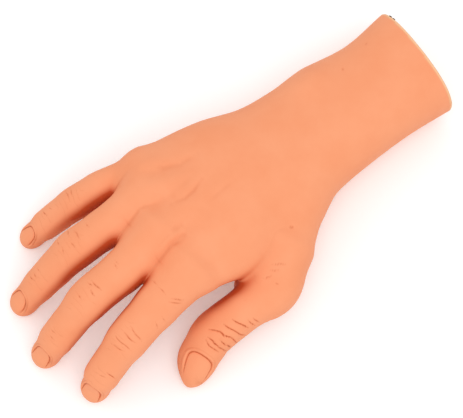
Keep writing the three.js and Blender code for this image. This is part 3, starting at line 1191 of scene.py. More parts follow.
@dataclass
class Skin:
    """The vinyl skin: one field of the palm, webs and digits, netted and cut into the solids' pieces."""

    palm: Palm
    digits: tuple[Digit, ...]
    webs: tuple[Web, ...]
    step: float
    finger_union: float = 1.0
    web_union: float = 4.0
    palm_union: float = 6.0
    thumb_union: float = 6.0
    rim_round: float = 0.5
    hollow_end: float = 28.0

    MARGIN = 4.0
    CUT_GAP = 0.2
    CUT_REACH = 4.0
    RIM_HIGHLIGHT_EDGE = (0.5, 1.3)
    CREASE_SHADE_REACH = 0.6
    GAP_SHADE_REACH = 9.0
    GAP_SHADE_LEAST = 0.08
    FACING_X = 0.7
    HOLLOW_RINGS = 24

    def field(self, points: Array) -> Array:
        """Field of the whole hand: the fingers and webs, then the palm, then the thumb, by soft unions.

        Args:
            points: Points, one a row.

        Returns:
            The values.
        """
        *fingers, thumb = self.digits
        hand = fingers[0].field(points)
        for finger in fingers[1:]:
            hand = soft_min(hand, finger.field(points), self.finger_union)
        for web in self.webs:
            hand = soft_min(hand, web.field(points), self.web_union)
        hand = soft_min(hand, self.palm.field(points), self.palm_union)
        return soft_min(hand, thumb.field(points), self.thumb_union)

    def owners(self, centers: Array) -> Array:
        """Number of each face's piece: 0 is the palm, and then each digit's pieces in turn.

        Args:
            centers: Middle of each face.

        Returns:
            The numbers.
        """
        owner = np.zeros(len(centers), int)
        best = np.full(len(centers), FAR)
        first = 1
        for digit in self.digits:
            index = np.flatnonzero(digit.tube.near(centers))
            reading = digit.tube.read(centers[index])
            number = digit.piece_of(reading)
            nearer = reading.distance < best[index]
            best[index[nearer]] = reading.distance[nearer]
            owner[index[nearer]] = np.where(number[nearer] < 0, 0, first + number[nearer])
            first += len(digit.piece_names())
        return owner

    def build(self, material: Material) -> None:
        """Nets the field over the solids' box, cuts the net into pieces, and makes each piece.

        Args:
            material: The skin's finish.
        """
        boxes = np.array([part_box(name) for name in frame["nodes"]]) / MM
        low, high = boxes[:, 0].min(0) - self.MARGIN, boxes[:, 1].max(0) + self.MARGIN
        net = Netter(low, high, self.step).net(self.field)
        past = self.palm.past_cut(net.points)[net.faces].min(1)
        net = net.part(past > self.rim_round + self.CUT_GAP * self.step)
        owner = self.owners(net.centers())
        self.make_palm(net.part(owner == 0), material)
        first = 1
        for digit in self.digits:
            count = len(digit.piece_names())
            for k in range(count):
                self.make_digit_piece(digit, k, net.part(owner == first + k), material)
            first += count

    def painted_tones_of(self, surface: Field, points: Array, normals: Array) -> Array:
        """Painted shade in creases and in gaps, and a painted highlight at the rim of the cut: shares from 0
        to 1.

        Creases are where the field is below zero a little way along the surface, as the skin rises there.
        Gaps are where the field a few millimetres out is less than that distance, as other skin is near.

        Args:
            surface: The field that made the piece.
            points: Points on it.
            normals: Direction out of it at each.

        Returns:
            A column for each tone.
        """
        near, far = self.CREASE_SHADE_REACH, self.GAP_SHADE_REACH
        other = np.where(np.abs(normals[:, :1]) < self.FACING_X, (1.0, 0, 0), (0, 1.0, 0))
        first = unit(np.cross(normals, other))
        second = np.cross(normals, first)
        # Painted shade in creases, where the skin rises round a point
        rise = sum(surface(points + near * way) for way in (first, -first, second, -second))
        # Painted shade in the gaps, where other skin is near
        shut = 1 - self.field(points + far * normals) / far
        gap = np.clip(shut - self.GAP_SHADE_LEAST, 0, 1) ** 2
        # Painted highlight along the rim of the cut
        rim = 1 - ease(self.palm.past_cut(points), *self.RIM_HIGHLIGHT_EDGE)
        return np.stack([np.clip(-rise / near, 0, 1), gap, rim], axis=1)

    def make_digit_piece(self, digit: Digit, k: int, net: Net, material: Material) -> None:
        """Makes a piece of a digit: finer net, settled on the field, closed at its cuts, and put on its
        phalanx's body if it is stiff.

        The new vertices on its rim stay half way along the old edges, where a coarser neighbour has them.

        Args:
            digit: The digit.
            k: Number of the piece in the digit.
            net: The piece's part of the coarse net.
            material: The skin's finish.
        """
        joint, stiff = divmod(k, 2)
        surface = self.field if joint == 0 else digit.field
        old = len(net.points)
        net, halved = net.split()
        points, normals = settle(surface, net.points)
        edges = net.rim()
        middles = np.setdiff1d(edges, np.arange(old))
        points[middles] = points[halved[middles - old]].mean(1)
        shell = Shell(Net(points, net.faces), normals, self.painted_tones_of(surface, points, normals))
        spine = digit.tube.spine
        lean = digit.lean if k == 0 else 0.0
        place, across, _ = spine.locate(points[edges].mean(1))
        place = place + lean * across
        ends = digit.cuts()[k:k + 2]
        labels = np.abs(place[:, None] - ends).argmin(1)
        caps = [spine.cap_at(end, sign) for end, sign in zip(ends, (-1, 1))]
        rims = [edges[labels == label].ravel() for label in range(len(ends))]
        if k == 0:
            middle = inner_point(points[rims[0]], normals[rims[0]], caps[0].middle)
            caps[0] = Cap(middle, caps[0].outward)
        shell.close(edges, labels, caps)
        piece = shell.make(digit.piece_names()[k], Slot.SKIN, material)
        row = joint_row(f"{digit.name}_{digit.joints[joint]}")
        if stiff:
            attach(piece, row["child"])
            return
        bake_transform(piece)

    def make_palm(self, net: Net, material: Material) -> None:
        """Makes the palm's piece: closed at the digits, with a rounded rim and a hollow at the cut.

        Args:
            net: The palm's part of the net.
            material: The skin's finish.
        """
        points, normals = settle(self.field, net.points)
        edges = net.rim()
        past = self.palm.past_cut(points)
        at_cut = past[edges].mean(1) < self.CUT_REACH
        rim = np.unique(edges[at_cut])
        points[rim, 0] -= past[rim] - self.rim_round
        shell = Shell(Net(points, net.faces), normals, self.painted_tones_of(self.field, points, normals))
        caps = [digit.tube.spine.cap_at(digit.cuts()[0]) for digit in self.digits]
        middles = np.array([cap.middle for cap in caps])
        others = edges[~at_cut]
        labels = np.linalg.norm(points[others].mean(1)[:, None] - middles, axis=2).argmin(1)
        for label, cap in enumerate(caps):
            loop = others[labels == label].ravel()
            caps[label] = Cap(inner_point(points[loop], normals[loop], cap.middle), cap.outward)
        self.close_cut(shell, edges[at_cut], rim)
        shell.close(others, labels, caps)
        piece = shell.make("palm_skin", Slot.SKIN, material)
        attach(piece, "palm")

    def close_cut(self, shell: Shell, edges: Array, rim: Array) -> None:
        """Adds the rounded rim, the wall's end and the hollow, as rings that each copy the rim's vertices.

        The rings on the rim lie in the plane of the cut, each further in. The rings of the hollow keep their
        share of the palm's section, less the wall, from the rim to the hollow's end.

        Args:
            shell: The palm's surface in the making.
            edges: Open edges at the cut.
            rim: Vertices on them.
        """
        palm, wall, round_ = self.palm, self.palm.wall, self.rim_round
        outer, normal = shell.net.points[rim], shell.normals[rim]
        plane = unit(np.array([1.0, -palm.cut_slopes[0], -palm.cut_slopes[1]]))
        inward = -unit(normal - (normal @ plane)[:, None] * plane)
        last = wall / round_
        # Each step: way in and height in the rim's radius, how far it faces out of the cut, and to which side
        steps = [(0.3, 0.3, 0.7, -1), (1.0, 0.0, 1.0, -1), (last - 0.6, 0.0, 1.0, 1), (last, 0.6, 0.3, 1)]
        rings, ways = [], []
        for inset, height, flat, side in steps:
            ring = outer + inward * inset * round_
            ring[:, 0] += height * round_ - palm.past_cut(ring)
            rings.append(ring)
            ways.append(unit(side * inward * (1 - flat) - plane * flat))
        start = rings[-1]
        share = palm.shares_of(start, wall)
        for t in np.linspace(0, 1, self.HOLLOW_RINGS)[1:]:
            x = start[:, 0] * (1 - t) + (self.hollow_end + ORIGIN[0]) * t
            rings.append(palm.ring_at(x, share, wall))
            ways.append(inward)
        lookup = np.empty(len(shell.net.points), int)
        lookup[rim] = np.arange(len(rim))
        pairs = lookup[edges]
        before = rim
        for ring, way in zip(rings, ways):
            after = shell.add_points(ring, way)
            a, b = pairs.T
            shell.extra.append(np.stack([before[b], before[a], after[a], after[b]], axis=1))
            before = after
        end = Cap(rings[-1].mean(0), np.array([-1.0, 0, 0]))
        shell.close(before[pairs], np.zeros(len(pairs), int), [end])


@dataclass
class FoamCore:
    """Foam that fills the hollow of the forearm and palm, a little below the rim of the cut."""

    palm: Palm
    gap: float = 0.1
    recess: float = 0.4
    end: float = 27.0
    around: int = 160
    across: int = 40
    along: int = 60

    ROUNDS = 2

    def build(self, material: Material) -> None:
        """Makes the core: a polar grid on the cut face, carried along the section to its end and closed.

        Args:
            material: The foam's finish.
        """
        palm = self.palm
        turn = np.linspace(0, 2 * math.pi, self.around, endpoint=False)
        power = 2 / palm.roundness
        outline = np.stack([np.sign(f) * np.abs(f) ** power for f in (np.cos(turn), np.sin(turn))], axis=1)
        start = palm.table[0, 0]
        shares = np.concatenate([np.linspace(0, 1, self.across)[1:], np.ones(self.along)])
        depth = np.concatenate([np.zeros(self.across - 1), np.linspace(0, 1, self.along + 1)[1:]])
        rings = []
        inset = palm.wall + self.gap
        for share, t in zip(shares, depth):
            x = np.full(self.around, start)
            for _ in range(self.ROUNDS):
                ring = palm.ring_at(x, share * outline, inset)
                x = (x + self.recess - palm.past_cut(ring)) * (1 - t) + (self.end + ORIGIN[0]) * t
            ring[:, 0] = x
            rings.append(ring)
        points = np.concatenate(rings)
        poles = np.stack([rings[0].mean(0), rings[-1].mean(0)])
        index = np.arange(len(points)).reshape(-1, self.around)
        after = np.roll(index, -1, axis=1)
        quads = np.stack([index[:-1], index[1:], after[1:], after[:-1]], axis=-1).reshape(-1, 4)
        near = np.stack([index[0], after[0], np.full(self.around, len(points))], axis=1)
        far = np.stack([after[-1], index[-1], np.full(self.around, len(points) + 1)], axis=1)
        mesh = bpy.data.meshes.new("palm_core_formed")
        corners = [row.tolist() for row in (*near, *far)] + quads.tolist()
        mesh.from_pydata((np.vstack([points, poles]) * MM).tolist(), [], corners)
        mesh.polygons.foreach_set("use_smooth", np.ones(len(corners), bool))
        piece = add_object("palm_core_formed", mesh)
        finish_piece(piece, "palm_core", material)
        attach(piece, "palm")


def linear(red: int, green: int, blue: int) -> tuple[float, float, float, float]:
    """Scene colour of a display colour given from 0 to 255, by the display's standard curve.

    Args:
        red: Red.
        green: Green.
        blue: Blue.

    Returns:
        The scene colour, with an alpha of 1.
    """
    values = np.array((red, green, blue)) / 255.0
    low, high = values / 12.92, ((values + 0.055) / 1.055) ** 2.4
    return (*np.where(values <= 0.04045, low, high).tolist(), 1.0)


class Nodes:
    """Small helper that adds and joins the nodes of one material."""

    MIX_START = 6
    MIX_END = 7
    MIX_RESULT = 2

    def __init__(self, name: str) -> None:
        """Starts a material with its shader.

        Args:
            name: Name of the material.
        """
        self.material = bpy.data.materials.new(name)
        self.material.use_nodes = True
        self.tree = self.material.node_tree
        self.shader = self.tree.nodes["Principled BSDF"]

    def add(self, kind: str, **values: object) -> bpy.types.Node:
        """A new node with its sockets or properties set by name.

        Args:
            kind: Type of the node.
            values: Values of its sockets or properties.

        Returns:
            The node.
        """
        node = self.tree.nodes.new(kind)
        for key, value in values.items():
            socket = node.inputs.get(key.replace("_", " "))
            if socket is not None:
                socket.default_value = value
            else:
                setattr(node, key, value)
        return node

    def join(self, start: Socket, end: Socket) -> None:
        """Links an output to an input."""
        self.tree.links.new(start, end)

    def texture(self, kind: str, **values: object) -> bpy.types.Node:
        """A new texture in the object's own coordinates.

        Args:
            kind: Type of the node.
            values: Values of its sockets or properties.

        Returns:
            The node.
        """
        node = self.add(kind, **values)
        self.join(self.add("ShaderNodeTexCoord").outputs["Object"], node.inputs["Vector"])
        return node

    def mix(self, share: Socket, start: Colour | Socket, end: Colour) -> Socket:
        """Colour between a start, which is a display colour or a socket, and a display colour.

        Args:
            share: How far towards the end.
            start: A display colour, or a colour's socket.
            end: A display colour.

        Returns:
            Socket of the mixed colour.
        """
        node = self.add("ShaderNodeMix", data_type="RGBA")
        if isinstance(start, tuple):
            node.inputs[self.MIX_START].default_value = linear(*start)
        else:
            self.join(start, node.inputs[self.MIX_START])
        node.inputs[self.MIX_END].default_value = linear(*end)
        self.join(share, node.inputs["Factor"])
        return node.outputs[self.MIX_RESULT]

    def finish(self, tone: Socket, relief: Socket, bump: tuple[float, float], **values: float) -> Material:
        """Gives the shader its colour, its bump and its other values.

        Args:
            tone: The colour.
            relief: Heights of the bump.
            bump: Strength and depth of the bump.
            values: Values of the shader's sockets by name.

        Returns:
            The material.
        """
        node = self.add("ShaderNodeBump", Strength=bump[0], Distance=bump[1])
        self.join(relief, node.inputs["Height"])
        self.join(node.outputs["Normal"], self.shader.inputs["Normal"])
        self.join(tone, self.shader.inputs["Base Color"])
        for key, value in values.items():
            self.shader.inputs[key.replace("_", " ")].default_value = value
        return self.material


@dataclass(frozen=True)
class VinylFinish:
    """Matte soft vinyl: blotched peach, with painted shade in creases and in the gaps between digits, a
    painted highlight along the rim of the cut, and fine pores.
    """

    base: Colour = (254, 166, 122)
    blotch: Colour = (251, 159, 114)
    # Painted shade in creases
    crease_shade: Colour = (208, 100, 56)
    # Painted shade in the gaps between digits and at the webs
    gap: Colour = (206, 88, 46)
    # Painted highlight along the rim of the cut
    rim: Colour = (255, 208, 160)
    roughness: float = 0.58
    gloss: float = 0.14
    blotch_scale: float = 45.0
    blotch_detail: float = 4.0
    blotch_roughness: float = 0.6
    blotch_range: tuple[float, float] = (0.35, 0.7)
    pore_scale: float = 1500.0
    pore_detail: float = 2.0
    pore_bump: tuple[float, float] = (0.25, 0.00008)

    def make(self) -> Material:
        """The material: noise between two tones, each attribute towards its own colour (painted shade in
        creases and gaps, and a painted highlight at the rim), and a bump of pores.

        Returns:
            The material.
        """
        nodes = Nodes(Slot.SKIN.value)
        noise = {"Scale": self.blotch_scale, "Detail": self.blotch_detail, "Roughness": self.blotch_roughness}
        blotches = nodes.texture("ShaderNodeTexNoise", **noise)
        low, high = self.blotch_range
        spread = nodes.add("ShaderNodeMapRange", From_Min=low, From_Max=high)
        nodes.join(blotches.outputs["Fac"], spread.inputs["Value"])
        tone = nodes.mix(spread.outputs["Result"], self.base, self.blotch)
        # Painted shade in creases and gaps, and a painted highlight at the rim, each mixed in by its
        # attribute
        for name, colour in zip(PAINTED_LIGHT_TONES, (self.crease_shade, self.gap, self.rim)):
            share = nodes.add("ShaderNodeAttribute", attribute_name=name)
            tone = nodes.mix(share.outputs["Fac"], tone, colour)
        pores = nodes.texture("ShaderNodeTexNoise", Scale=self.pore_scale, Detail=self.pore_detail)
        values = {"Roughness": self.roughness, "Specular IOR Level": self.gloss}
        return nodes.finish(tone, pores.outputs["Fac"], self.pore_bump, **values)


@dataclass(frozen=True)
class FoamFinish:
    """Cut open-cell foam: cream cells, with painted shade in their hollows."""

    light: Colour = (244, 230, 200)
    # Painted shade in the cells' hollows
    dark: Colour = (206, 183, 142)
    cell_scale: float = 900.0
    cell_bump: tuple[float, float] = (0.6, 0.0004)
    roughness: float = 0.9

    def make(self) -> Material:
        """The material: rounded cells between two tones, darker as painted shade where the bump sinks, and
        their bump.

        Returns:
            The material.
        """
        nodes = Nodes(Slot.FOAM.value)
        cells = nodes.texture("ShaderNodeTexVoronoi", Scale=self.cell_scale).outputs["Distance"]
        # Painted shade: darker towards each cell's middle, where the bump is lowest
        tone = nodes.mix(cells, self.dark, self.light)
        return nodes.finish(tone, cells, self.cell_bump, Roughness=self.roughness)


@dataclass(frozen=True)
class IronFinish:
    """Black annealed iron wire, with a thin uneven scale."""

    dark: Colour = (28, 25, 24)
    light: Colour = (66, 60, 56)
    noise_scale: float = 700.0
    noise_detail: float = 3.0
    bump: tuple[float, float] = (0.3, 0.0001)
    metallic: float = 0.8
    roughness: float = 0.55

    def make(self) -> Material:
        """The material: noise between two dark tones, and a fine bump.

        Returns:
            The material.
        """
        nodes = Nodes(Slot.WIRE.value)
        noise = nodes.texture("ShaderNodeTexNoise", Scale=self.noise_scale, Detail=self.noise_detail)
        tone = nodes.mix(noise.outputs["Fac"], self.dark, self.light)
        values = {"Metallic": self.metallic, "Roughness": self.roughness}
        return nodes.finish(tone, noise.outputs["Fac"], self.bump, **values)


def knuckle_lines(first: float, last: float, count: int, depth: float, spread: float) -> tuple[Wrinkle, ...]:
    """Row of faint grooves over a joint's back, bowed away from it, each a little out of line.

    Args:
        first: Place of the first groove from the joint.
        last: Place of the last one.
        count: How many there are.
        depth: Depth of each.
        spread: How far round the digit they reach, in degrees to each side.

    Returns:
        The grooves.
    """
    width, bow, tilt, shift, pace = 0.32, 1.2, 0.5, 12, 7
    longest, shorter, vary = 0.8, 0.3, 0.2
    corners = (-1, -0.4, 0.4, 1)
    rows = []
    for share in np.linspace(-1, 1, count):
        place = first + (last - first) * (share + 1) / 2
        wave = math.sin(pace * place + first)
        reach = spread * (longest - shorter * abs(share) + vary * wave)
        line = [(place + bow * share * t * t + tilt * wave * t, shift * wave + reach * t) for t in corners]
        rows.append(Wrinkle(tuple(line), depth, width))
    return tuple(rows)


def palm_fold(place: float, depth: float) -> Wrinkle:
    """Crease across the palm side of a joint.

    Args:
        place: Place of its middle from the joint.
        depth: Its depth.

    Returns:
        The groove.
    """
    bow, width = 0.6, 0.6
    first, middle, last = 110.0, 180.0, 250.0
    return Wrinkle(((place + bow, first), (place, middle), (place + bow, last)), depth, width)


def lines(depth: float, *drawn_lines: tuple[tuple[float, float], ...]) -> tuple[Wrinkle, ...]:
    """Grooves of one depth along drawn lines."""
    return tuple(Wrinkle(line, depth) for line in drawn_lines)


FINGER_PARTS = ("proximal", "middle", "tip")
FINGER_JOINTS = ("root", "pip", "dip")


def finger(
    name: str, knuckle: tuple, knuckle_size: tuple, soft: tuple, root_end: float, tip: float, nail: Nail,
    sections: tuple, sway: float, own_lines: tuple
) -> Digit:
    """A finger, with the wrinkles that all four share and its own.

    Args:
        name: The finger's name.
        knuckle: Where its run inside the palm starts.
        knuckle_size: Width and depth there.
        soft: Half the length of each bend's arc.
        root_end: Where the first bend's piece ends, past the joint.
        tip: Length of the tip past its joint.
        nail: The nail.
        sections: Width and depth at each joint, half way along each phalanx, and at the cuticle.
        sway: How far the middle line lies to the thumb's side past the first joint.
        own_lines: Grooves of this finger alone, at each joint.

    Returns:
        The finger.
    """
    root_start = -1.2
    sway_start, sway_full = 2.0, 14.0
    bends = ((-soft[0], root_end), (-soft[1], soft[1]), (-soft[2], soft[2]))
    blends = ((root_start, FAR), (-FAR, FAR), (-FAR, FAR))
    shared = (
        (palm_fold(6.5, 0.5), palm_fold(8.0, 0.3)),
        (*knuckle_lines(-6.5, 6.0, 7, 0.07, 46.0), palm_fold(-0.8, 0.55), palm_fold(1.6, 0.35)),
        (*knuckle_lines(-6.0, 0.5, 4, 0.07, 44.0), palm_fold(0.0, 0.5)),
    )
    wrinkles = tuple(common + own for common, own in zip(shared, own_lines))
    side = ((sway_start, 0.0), (sway_full, sway))
    parts = (FINGER_JOINTS, FINGER_PARTS, knuckle, knuckle_size, soft, bends, blends)
    return Digit(name, *parts, tip, nail, sections, wrinkles, sway=side)


DIGITS = (
    finger(
        "index", (38.0, 17.0, 39.5), (26.0, 25.0), (5.6, 7.3, 5.0), 9.0, 17.9,
        Nail(15.1, 10.8, 3.6, 7.0, 12.0),
        ((22, 22), (20.2, 20), (20, 19.5), (17.3, 17), (17, 16), (14.4, 13.5)), -0.2,
        (
            lines(0.22, ((-2.9, 30), (-6.1, 58)), ((-4.4, 29), (-7.8, 54)), ((3.4, 41), (4.2, 61)),
                  ((7.1, 39), (8.9, 59)), ((-5.3, -41), (-5.1, -18)), ((-4.7, -12), (-4.2, 12))),
            lines(0.26, ((-5.7, -3), (-5, 22), (-4, 47)), ((-2.4, -3), (-2.1, 34)),
                  ((0.7, -25), (0.9, 16), (1.1, 41)), ((3.9, -14), (2.9, 28))),
            lines(0.36, ((-7.6, 25), (-6.1, 60))) + lines(0.2, ((-4.3, 3), (-4.8, 32))),
        ),
    ),
    finger(
        "middle", (38.6, -5.4, 42.0), (23.0, 25.0), (5.8, 7.0, 5.0), 9.5, 21.8,
        Nail(16.8, 10.6, 4.8, 7.2, 14.0),
        ((21, 22), (20, 20), (20, 19.5), (17.2, 17.5), (16.8, 16.5), (14.4, 14)), -0.1,
        (
            lines(0.28, ((2.5, -14), (2.7, 2)), ((1.2, -18), (1.3, -6))),
            lines(0.36, ((-5.7, -23), (-6.3, -2)), ((-7.1, -18), (-7.8, 20)),
                  ((-4.5, 3), (-4.6, 19)), ((0.2, -17), (0.3, 3))),
            lines(0.2, ((-5, -20), (-5.2, 10)), ((-3, -8), (-2.8, 18))),
        ),
    ),
    finger(
        "ring", (31.5, -24.4, 39.0), (21.0, 24.0), (5.2, 6.9, 5.0), 8.5, 23.6,
        Nail(15.3, 10.4, 5.0, 6.6, -2.0),
        ((19.6, 21), (19.2, 18.5), (19.6, 18), (17.7, 16), (16.4, 15), (14, 13)), 0.6,
        (
            lines(0.24, ((6.9, -28), (6.5, -10))),
            lines(0.28, ((-2.2, -11), (-2.2, 13)), ((-5.3, -32), (-5.9, 5)), ((-2.5, -55), (-2.7, -27)),
                  ((2.8, -45), (2.9, -20)), ((2.4, -12), (2.8, 7))),
            lines(0.3, ((-3.1, -27), (-3.5, -2)), ((-0.8, -33), (-1.4, -3)), ((-6.2, -29), (-6.2, -11))),
        ),
    ),
    finger(
        "little", (24.0, -36.6, 33.0), (18.4, 22.0), (5.0, 5.2, 4.5), 6.8, 18.2,
        Nail(14.2, 8.6, 4.6, 5.7, 4.0),
        ((16.8, 18), (16.2, 16), (16.6, 15.5), (15.4, 14), (14.8, 13), (12.4, 11)), 0.5,
        (
            (),
            lines(0.22, ((-2.4, -38), (-2.4, -3)), ((0.2, -39), (-0.9, -6))),
            lines(0.32, ((-4.9, -35), (-6, -5)), ((-9.1, -28), (-9.9, -14))),
        ),
    ),
    Digit(
        "thumb", ("mcp", "ip"), ("proximal", "tip"), (-8.0, 35.0, 24.0), (18.8, 27.0), (7.0, 6.5),
        ((2.1, 13.4), (-7.8, 7.8)), ((-FAR, FAR), (-FAR, FAR)), 32.2, Nail(19.4, 14.4, 2.8, 9.2, 27.0, 0.9),
        ((24.8, 25), (21, 20), (21.6, 18.5), (20, 15.5)),
        (
            (
                *lines(0.34, ((-6.9, -11), (-8, 2), (-8.8, 16)),
                       ((-3.7, -9), (-5.8, 7)), ((2, -10), (-1.4, -2))),
                *lines(0.5, ((0.3, 17), (0, 20))),
                palm_fold(10.0, 0.5), palm_fold(13.0, 0.3),
            ),
            (
                *lines(0.55, ((-8.3, 23), (-10, 46), (-12.3, 72)), ((-4, 18), (-5.9, 51), (-9.1, 94)),
                       ((1.2, 0), (-0.6, 24), (-1.2, 40), (-2.6, 56), (-3.2, 104)),
                       ((4, 10), (4.6, 36), (5.4, 88))),
                *lines(0.45, ((1.4, 38), (1.0, 96)), ((5.5, 9), (6.7, 24), (7.9, 56))),
                *lines(0.36, ((-14.1, 50), (-15.6, 84)), ((-16.8, 54), (-18, 82))),
                palm_fold(-0.5, 0.5),
            ),
        ),
        run=10.0, roll=8.0, lean=1.0, reach=2.2, tip_taper=15.0, tip_dome=15.0, point=1.65,
        sway=((6.0, 0.0), (16.0, -0.3), (30.0, 0.4), (42.0, -0.8), (50.0, -1.2), (66.0, 0.6)),
    ),
)

WEBS = (
    Web((40.0, 6.0, 36.0), (52.6, 6.6, 34.0), (9.0, 4.2)),
    Web((38.0, -14.6, 37.0), (50.0, -16.0, 34.0), (8.5, 4.2)),
    Web((26.0, -31.0, 33.0), (35.2, -36.0, 30.5), (8.0, 4.0)),
    Web((-4.0, 33.0, 27.0), (7.8, 38.4, 26.6), (9.0, 5.0)),
    Web((4.0, 32.0, 19.0), (17.2, 33.4, 17.0), (7.0, 4.6)),
    Web((7.8, 38.4, 26.6), (17.2, 33.4, 17.0), (5.0, 4.6)),
)

HAND_BACK = (
    Ridge(((39.3, 16.9), (34, 15)), 1.0, 6.0),
    Ridge(((40.1, -3.3), (34, -4)), 1.2, 6.0),
    Ridge(((33.1, -22.1), (28, -21)), 1.0, 5.5),
    Ridge(((27.0, -34.0), (23, -32)), 0.8, 5.0),
    Ridge(((34, 15), (4, 9)), 0.2, 3.5),
    Ridge(((34, -4), (-10, -4)), 0.25, 3.5),
    Ridge(((28, -21), (4, -16)), 0.2, 3.5),
    Ridge(((45, 6), (32, 6), (20, 4)), -1.0, 4.2),
    Ridge(((42, -14), (30, -13), (18, -11)), -1.0, 4.0),
    Ridge(((32, -30), (22, -27), (10, -22)), -0.8, 4.0),
    Ridge(((-67.6, -25), (-64, -24)), 2.2, 8.0),
    Ridge(((46.2, 4.8), (39, 4.0), (32.1, 4.0)), 0.8, 1.2),
    Ridge(((46.4, 7.8), (40, 6.8), (33, 6.6)), -0.35, 1.4),
    Ridge(((45, 1.6), (38, 1.0), (31, 1.4)), -0.35, 1.4),
    Ridge(((28.2, -9.2), (21.6, -7.6), (15.8, -8.2), (9.5, -10.8)), -0.36, 1.4),
    Ridge(((22, -10.6), (15, -11.6), (9, -12.8)), 0.4, 2.0),
    Ridge(((13.6, 0.4), (-2.7, -1.3)), -0.24, 1.8),
    Ridge(((22.9, -32.5), (19.5, -27.1), (12.3, -23.3), (2.7, -22.9)), -0.4, 2.0),
    Ridge(((6, 38), (-2, 37.5), (-8, 37.5)), -0.45, 4.0),
    Ridge(((-11.9, 30.4), (-12.3, 30.7)), -0.3, 0.8),
    Ridge(((-101.6, -22.3), (-101.2, -22.1)), -0.16, 0.7),
    Ridge(((-82.8, -17.9), (-82.5, -17.6)), -0.2, 0.7),
)

PALM_SIDE = (
    Ridge(((30, 20), (32, 0), (24, -22), (14, -36)), -0.7, 1.0, Side.PALM),
    Ridge(((26, 28), (14, 10), (2, -8), (-6, -26)), -0.7, 1.0, Side.PALM),
    Ridge(((24, 30), (8, 18), (-14, 10), (-34, 6)), -0.8, 1.1, Side.PALM),
    Ridge(((12, 0), (2, -4)), -1.1, 16.0, Side.PALM),
    Ridge(((-20, -24), (0, -30)), 1.6, 11.0, Side.PALM),
    Ridge(((-56, -20), (-56, 14)), -0.6, 0.8, Side.PALM),
    Ridge(((-60, -16), (-60, 10)), -0.4, 0.7, Side.PALM),
)

PALM = Palm(
    rows=(
        (-120.8, -34.2, 25, 0, 43), (-96, -31.8, 22.6, 0.3, 42), (-70, -35, 22.8, 1, 43),
        (-50, -34.8, 24.4, 2, 44.5), (-32, -36.2, 28.4, 4, 46.5), (-12, -42, 30, 8, 49.5),
        (10, -45.2, 35.4, 13, 52), (28, -46.4, 32.4, 19, 53), (40, -36, 29, 24, 51), (49, -26, 22, 30, 46),
    ),
    thumb_base=(
        (-40, 9.5, 22, 24, 28), (-24, 18.5, 23, 29.4, 32.5), (-8, 31.4, 24, 28, 29.5), (9, 45, 23, 17, 20),
    ),
    ridges=HAND_BACK + PALM_SIDE,
)


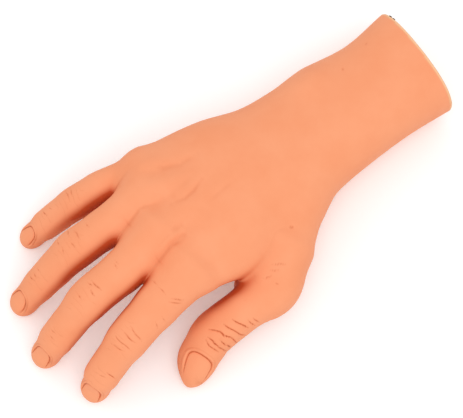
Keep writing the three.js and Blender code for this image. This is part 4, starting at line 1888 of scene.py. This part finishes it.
@dataclass
class Studio:
    """Camera of the photograph's view, pale floor and a soft key light, with lengths in metres."""

    azimuth: float = 142.0
    elevation: float = 69.0
    distance: float = 0.9
    lens: float = 144.29
    sensor: float = 36.0
    clip_start: float = 0.01
    key_azimuth: float = 150.0
    key_elevation: float = 66.0
    key_distance: float = 1.2
    key_size: float = 0.8
    key_power: float = 3.6
    sky: float = 0.8
    floor_half: float = 3.0
    floor_tone: float = 0.86
    floor_roughness: float = 0.9
    floor_lift: float = 0.16
    target: Array = field(default_factory=lambda: drawn((0, 0, 20)) * MM)

    def build(self) -> None:
        """Sets the camera, the floor and the lights."""
        self.camera()
        self.floor()
        self.key_light()
        world = bpy.data.worlds.new("studio")
        bpy.context.scene.world = world
        world.use_nodes = True
        background = world.node_tree.nodes["Background"]
        background.inputs["Color"].default_value = WHITE
        background.inputs["Strength"].default_value = self.sky
        bpy.context.scene.view_settings.view_transform = "Standard"

    def away(self, azimuth: float, elevation: float, distance: float) -> Array:
        """Place at a distance from the target, turned by an azimuth from -Y and raised by an elevation.

        Args:
            azimuth: Turn in degrees.
            elevation: Rise in degrees.
            distance: Distance in metres.

        Returns:
            The place.
        """
        a, e = math.radians(azimuth), math.radians(elevation)
        way = np.array([math.sin(a) * math.cos(e), -math.cos(a) * math.cos(e), math.sin(e)])
        return self.target + distance * way

    def aim(self, name: str, data: bpy.types.ID, place: Array) -> Thing:
        """New camera or light at a place, looking at the target with its top up.

        Args:
            name: Name of the object.
            data: The camera or the light.
            place: Where it stands.

        Returns:
            The object.
        """
        back = unit(place - self.target)
        right = unit(np.cross((0, 0, 1), back))
        matrix = np.eye(4)
        matrix[:3] = np.stack([right, np.cross(back, right), back, place], axis=1)
        thing = add_object(name, data)
        thing.matrix_world = matrix.T.tolist()
        return thing

    def camera(self) -> None:
        """Camera at the photograph's viewing angle."""
        data = bpy.data.cameras.new("view")
        data.lens = self.lens
        data.sensor_width = self.sensor
        data.clip_start = self.clip_start
        place = self.away(self.azimuth, self.elevation, self.distance)
        bpy.context.scene.camera = self.aim("view", data, place)

    def key_light(self) -> None:
        """Square soft light at a distance, aimed at the hand."""
        data = bpy.data.lights.new("key", "AREA")
        data.size = self.key_size
        data.energy = self.key_power
        self.aim("key", data, self.away(self.key_azimuth, self.key_elevation, self.key_distance))

    def floor(self) -> None:
        """Plain pale floor, which lights the hand by its tone and shows itself white, with the shadow."""
        half = self.floor_half
        mesh = bpy.data.meshes.new("floor")
        corners = [(-half, -half, 0), (half, -half, 0), (half, half, 0), (-half, half, 0)]
        mesh.from_pydata(corners, [], [(0, 1, 2, 3)])
        nodes = Nodes("floor")
        nodes.shader.inputs["Base Color"].default_value = (*[self.floor_tone] * 3, 1.0)
        nodes.shader.inputs["Roughness"].default_value = self.floor_roughness
        seen = nodes.add("ShaderNodeAddShader")
        white = nodes.add("ShaderNodeBsdfDiffuse", Color=WHITE)
        lift = nodes.add("ShaderNodeEmission", Color=WHITE, Strength=self.floor_lift)
        nodes.join(white.outputs[0], seen.inputs[0])
        nodes.join(lift.outputs[0], seen.inputs[1])
        choice = nodes.add("ShaderNodeMixShader")
        path = nodes.add("ShaderNodeLightPath")
        share = path.outputs["Is Camera Ray"]
        for kind in ("Is Glossy Ray", "Is Transmission Ray"):
            either = nodes.add("ShaderNodeMath", operation="MAXIMUM")
            nodes.join(share, either.inputs[0])
            nodes.join(path.outputs[kind], either.inputs[1])
            share = either.outputs[0]
        nodes.join(share, choice.inputs["Fac"])
        nodes.join(nodes.shader.outputs[0], choice.inputs[1])
        nodes.join(seen.outputs[0], choice.inputs[2])
        nodes.join(choice.outputs[0], nodes.tree.nodes["Material Output"].inputs["Surface"])
        mesh.materials.append(nodes.material)
        thing = add_object("floor", mesh)


def dress_wires(material: Material) -> None:
    """Gives the wires of the solids their finish.

    Args:
        material: The wires' finish.
    """
    for name, node in frame["nodes"].items():
        if name.endswith("_wire"):
            node.data.materials.clear()
            node.data.materials.append(material)
            LOG.info("%s: wire finish", name)


def main() -> None:
    """Builds the hand and its studio."""
    logging.basicConfig(level=logging.INFO, format="%(message)s")
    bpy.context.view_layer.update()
    step = FINE_STEP
    Skin(PALM, DIGITS, WEBS, step).build(VinylFinish().make())
    FoamCore(PALM).build(FoamFinish().make())
    dress_wires(IronFinish().make())
    Studio().build()


if __name__ == "__main__":
    main()
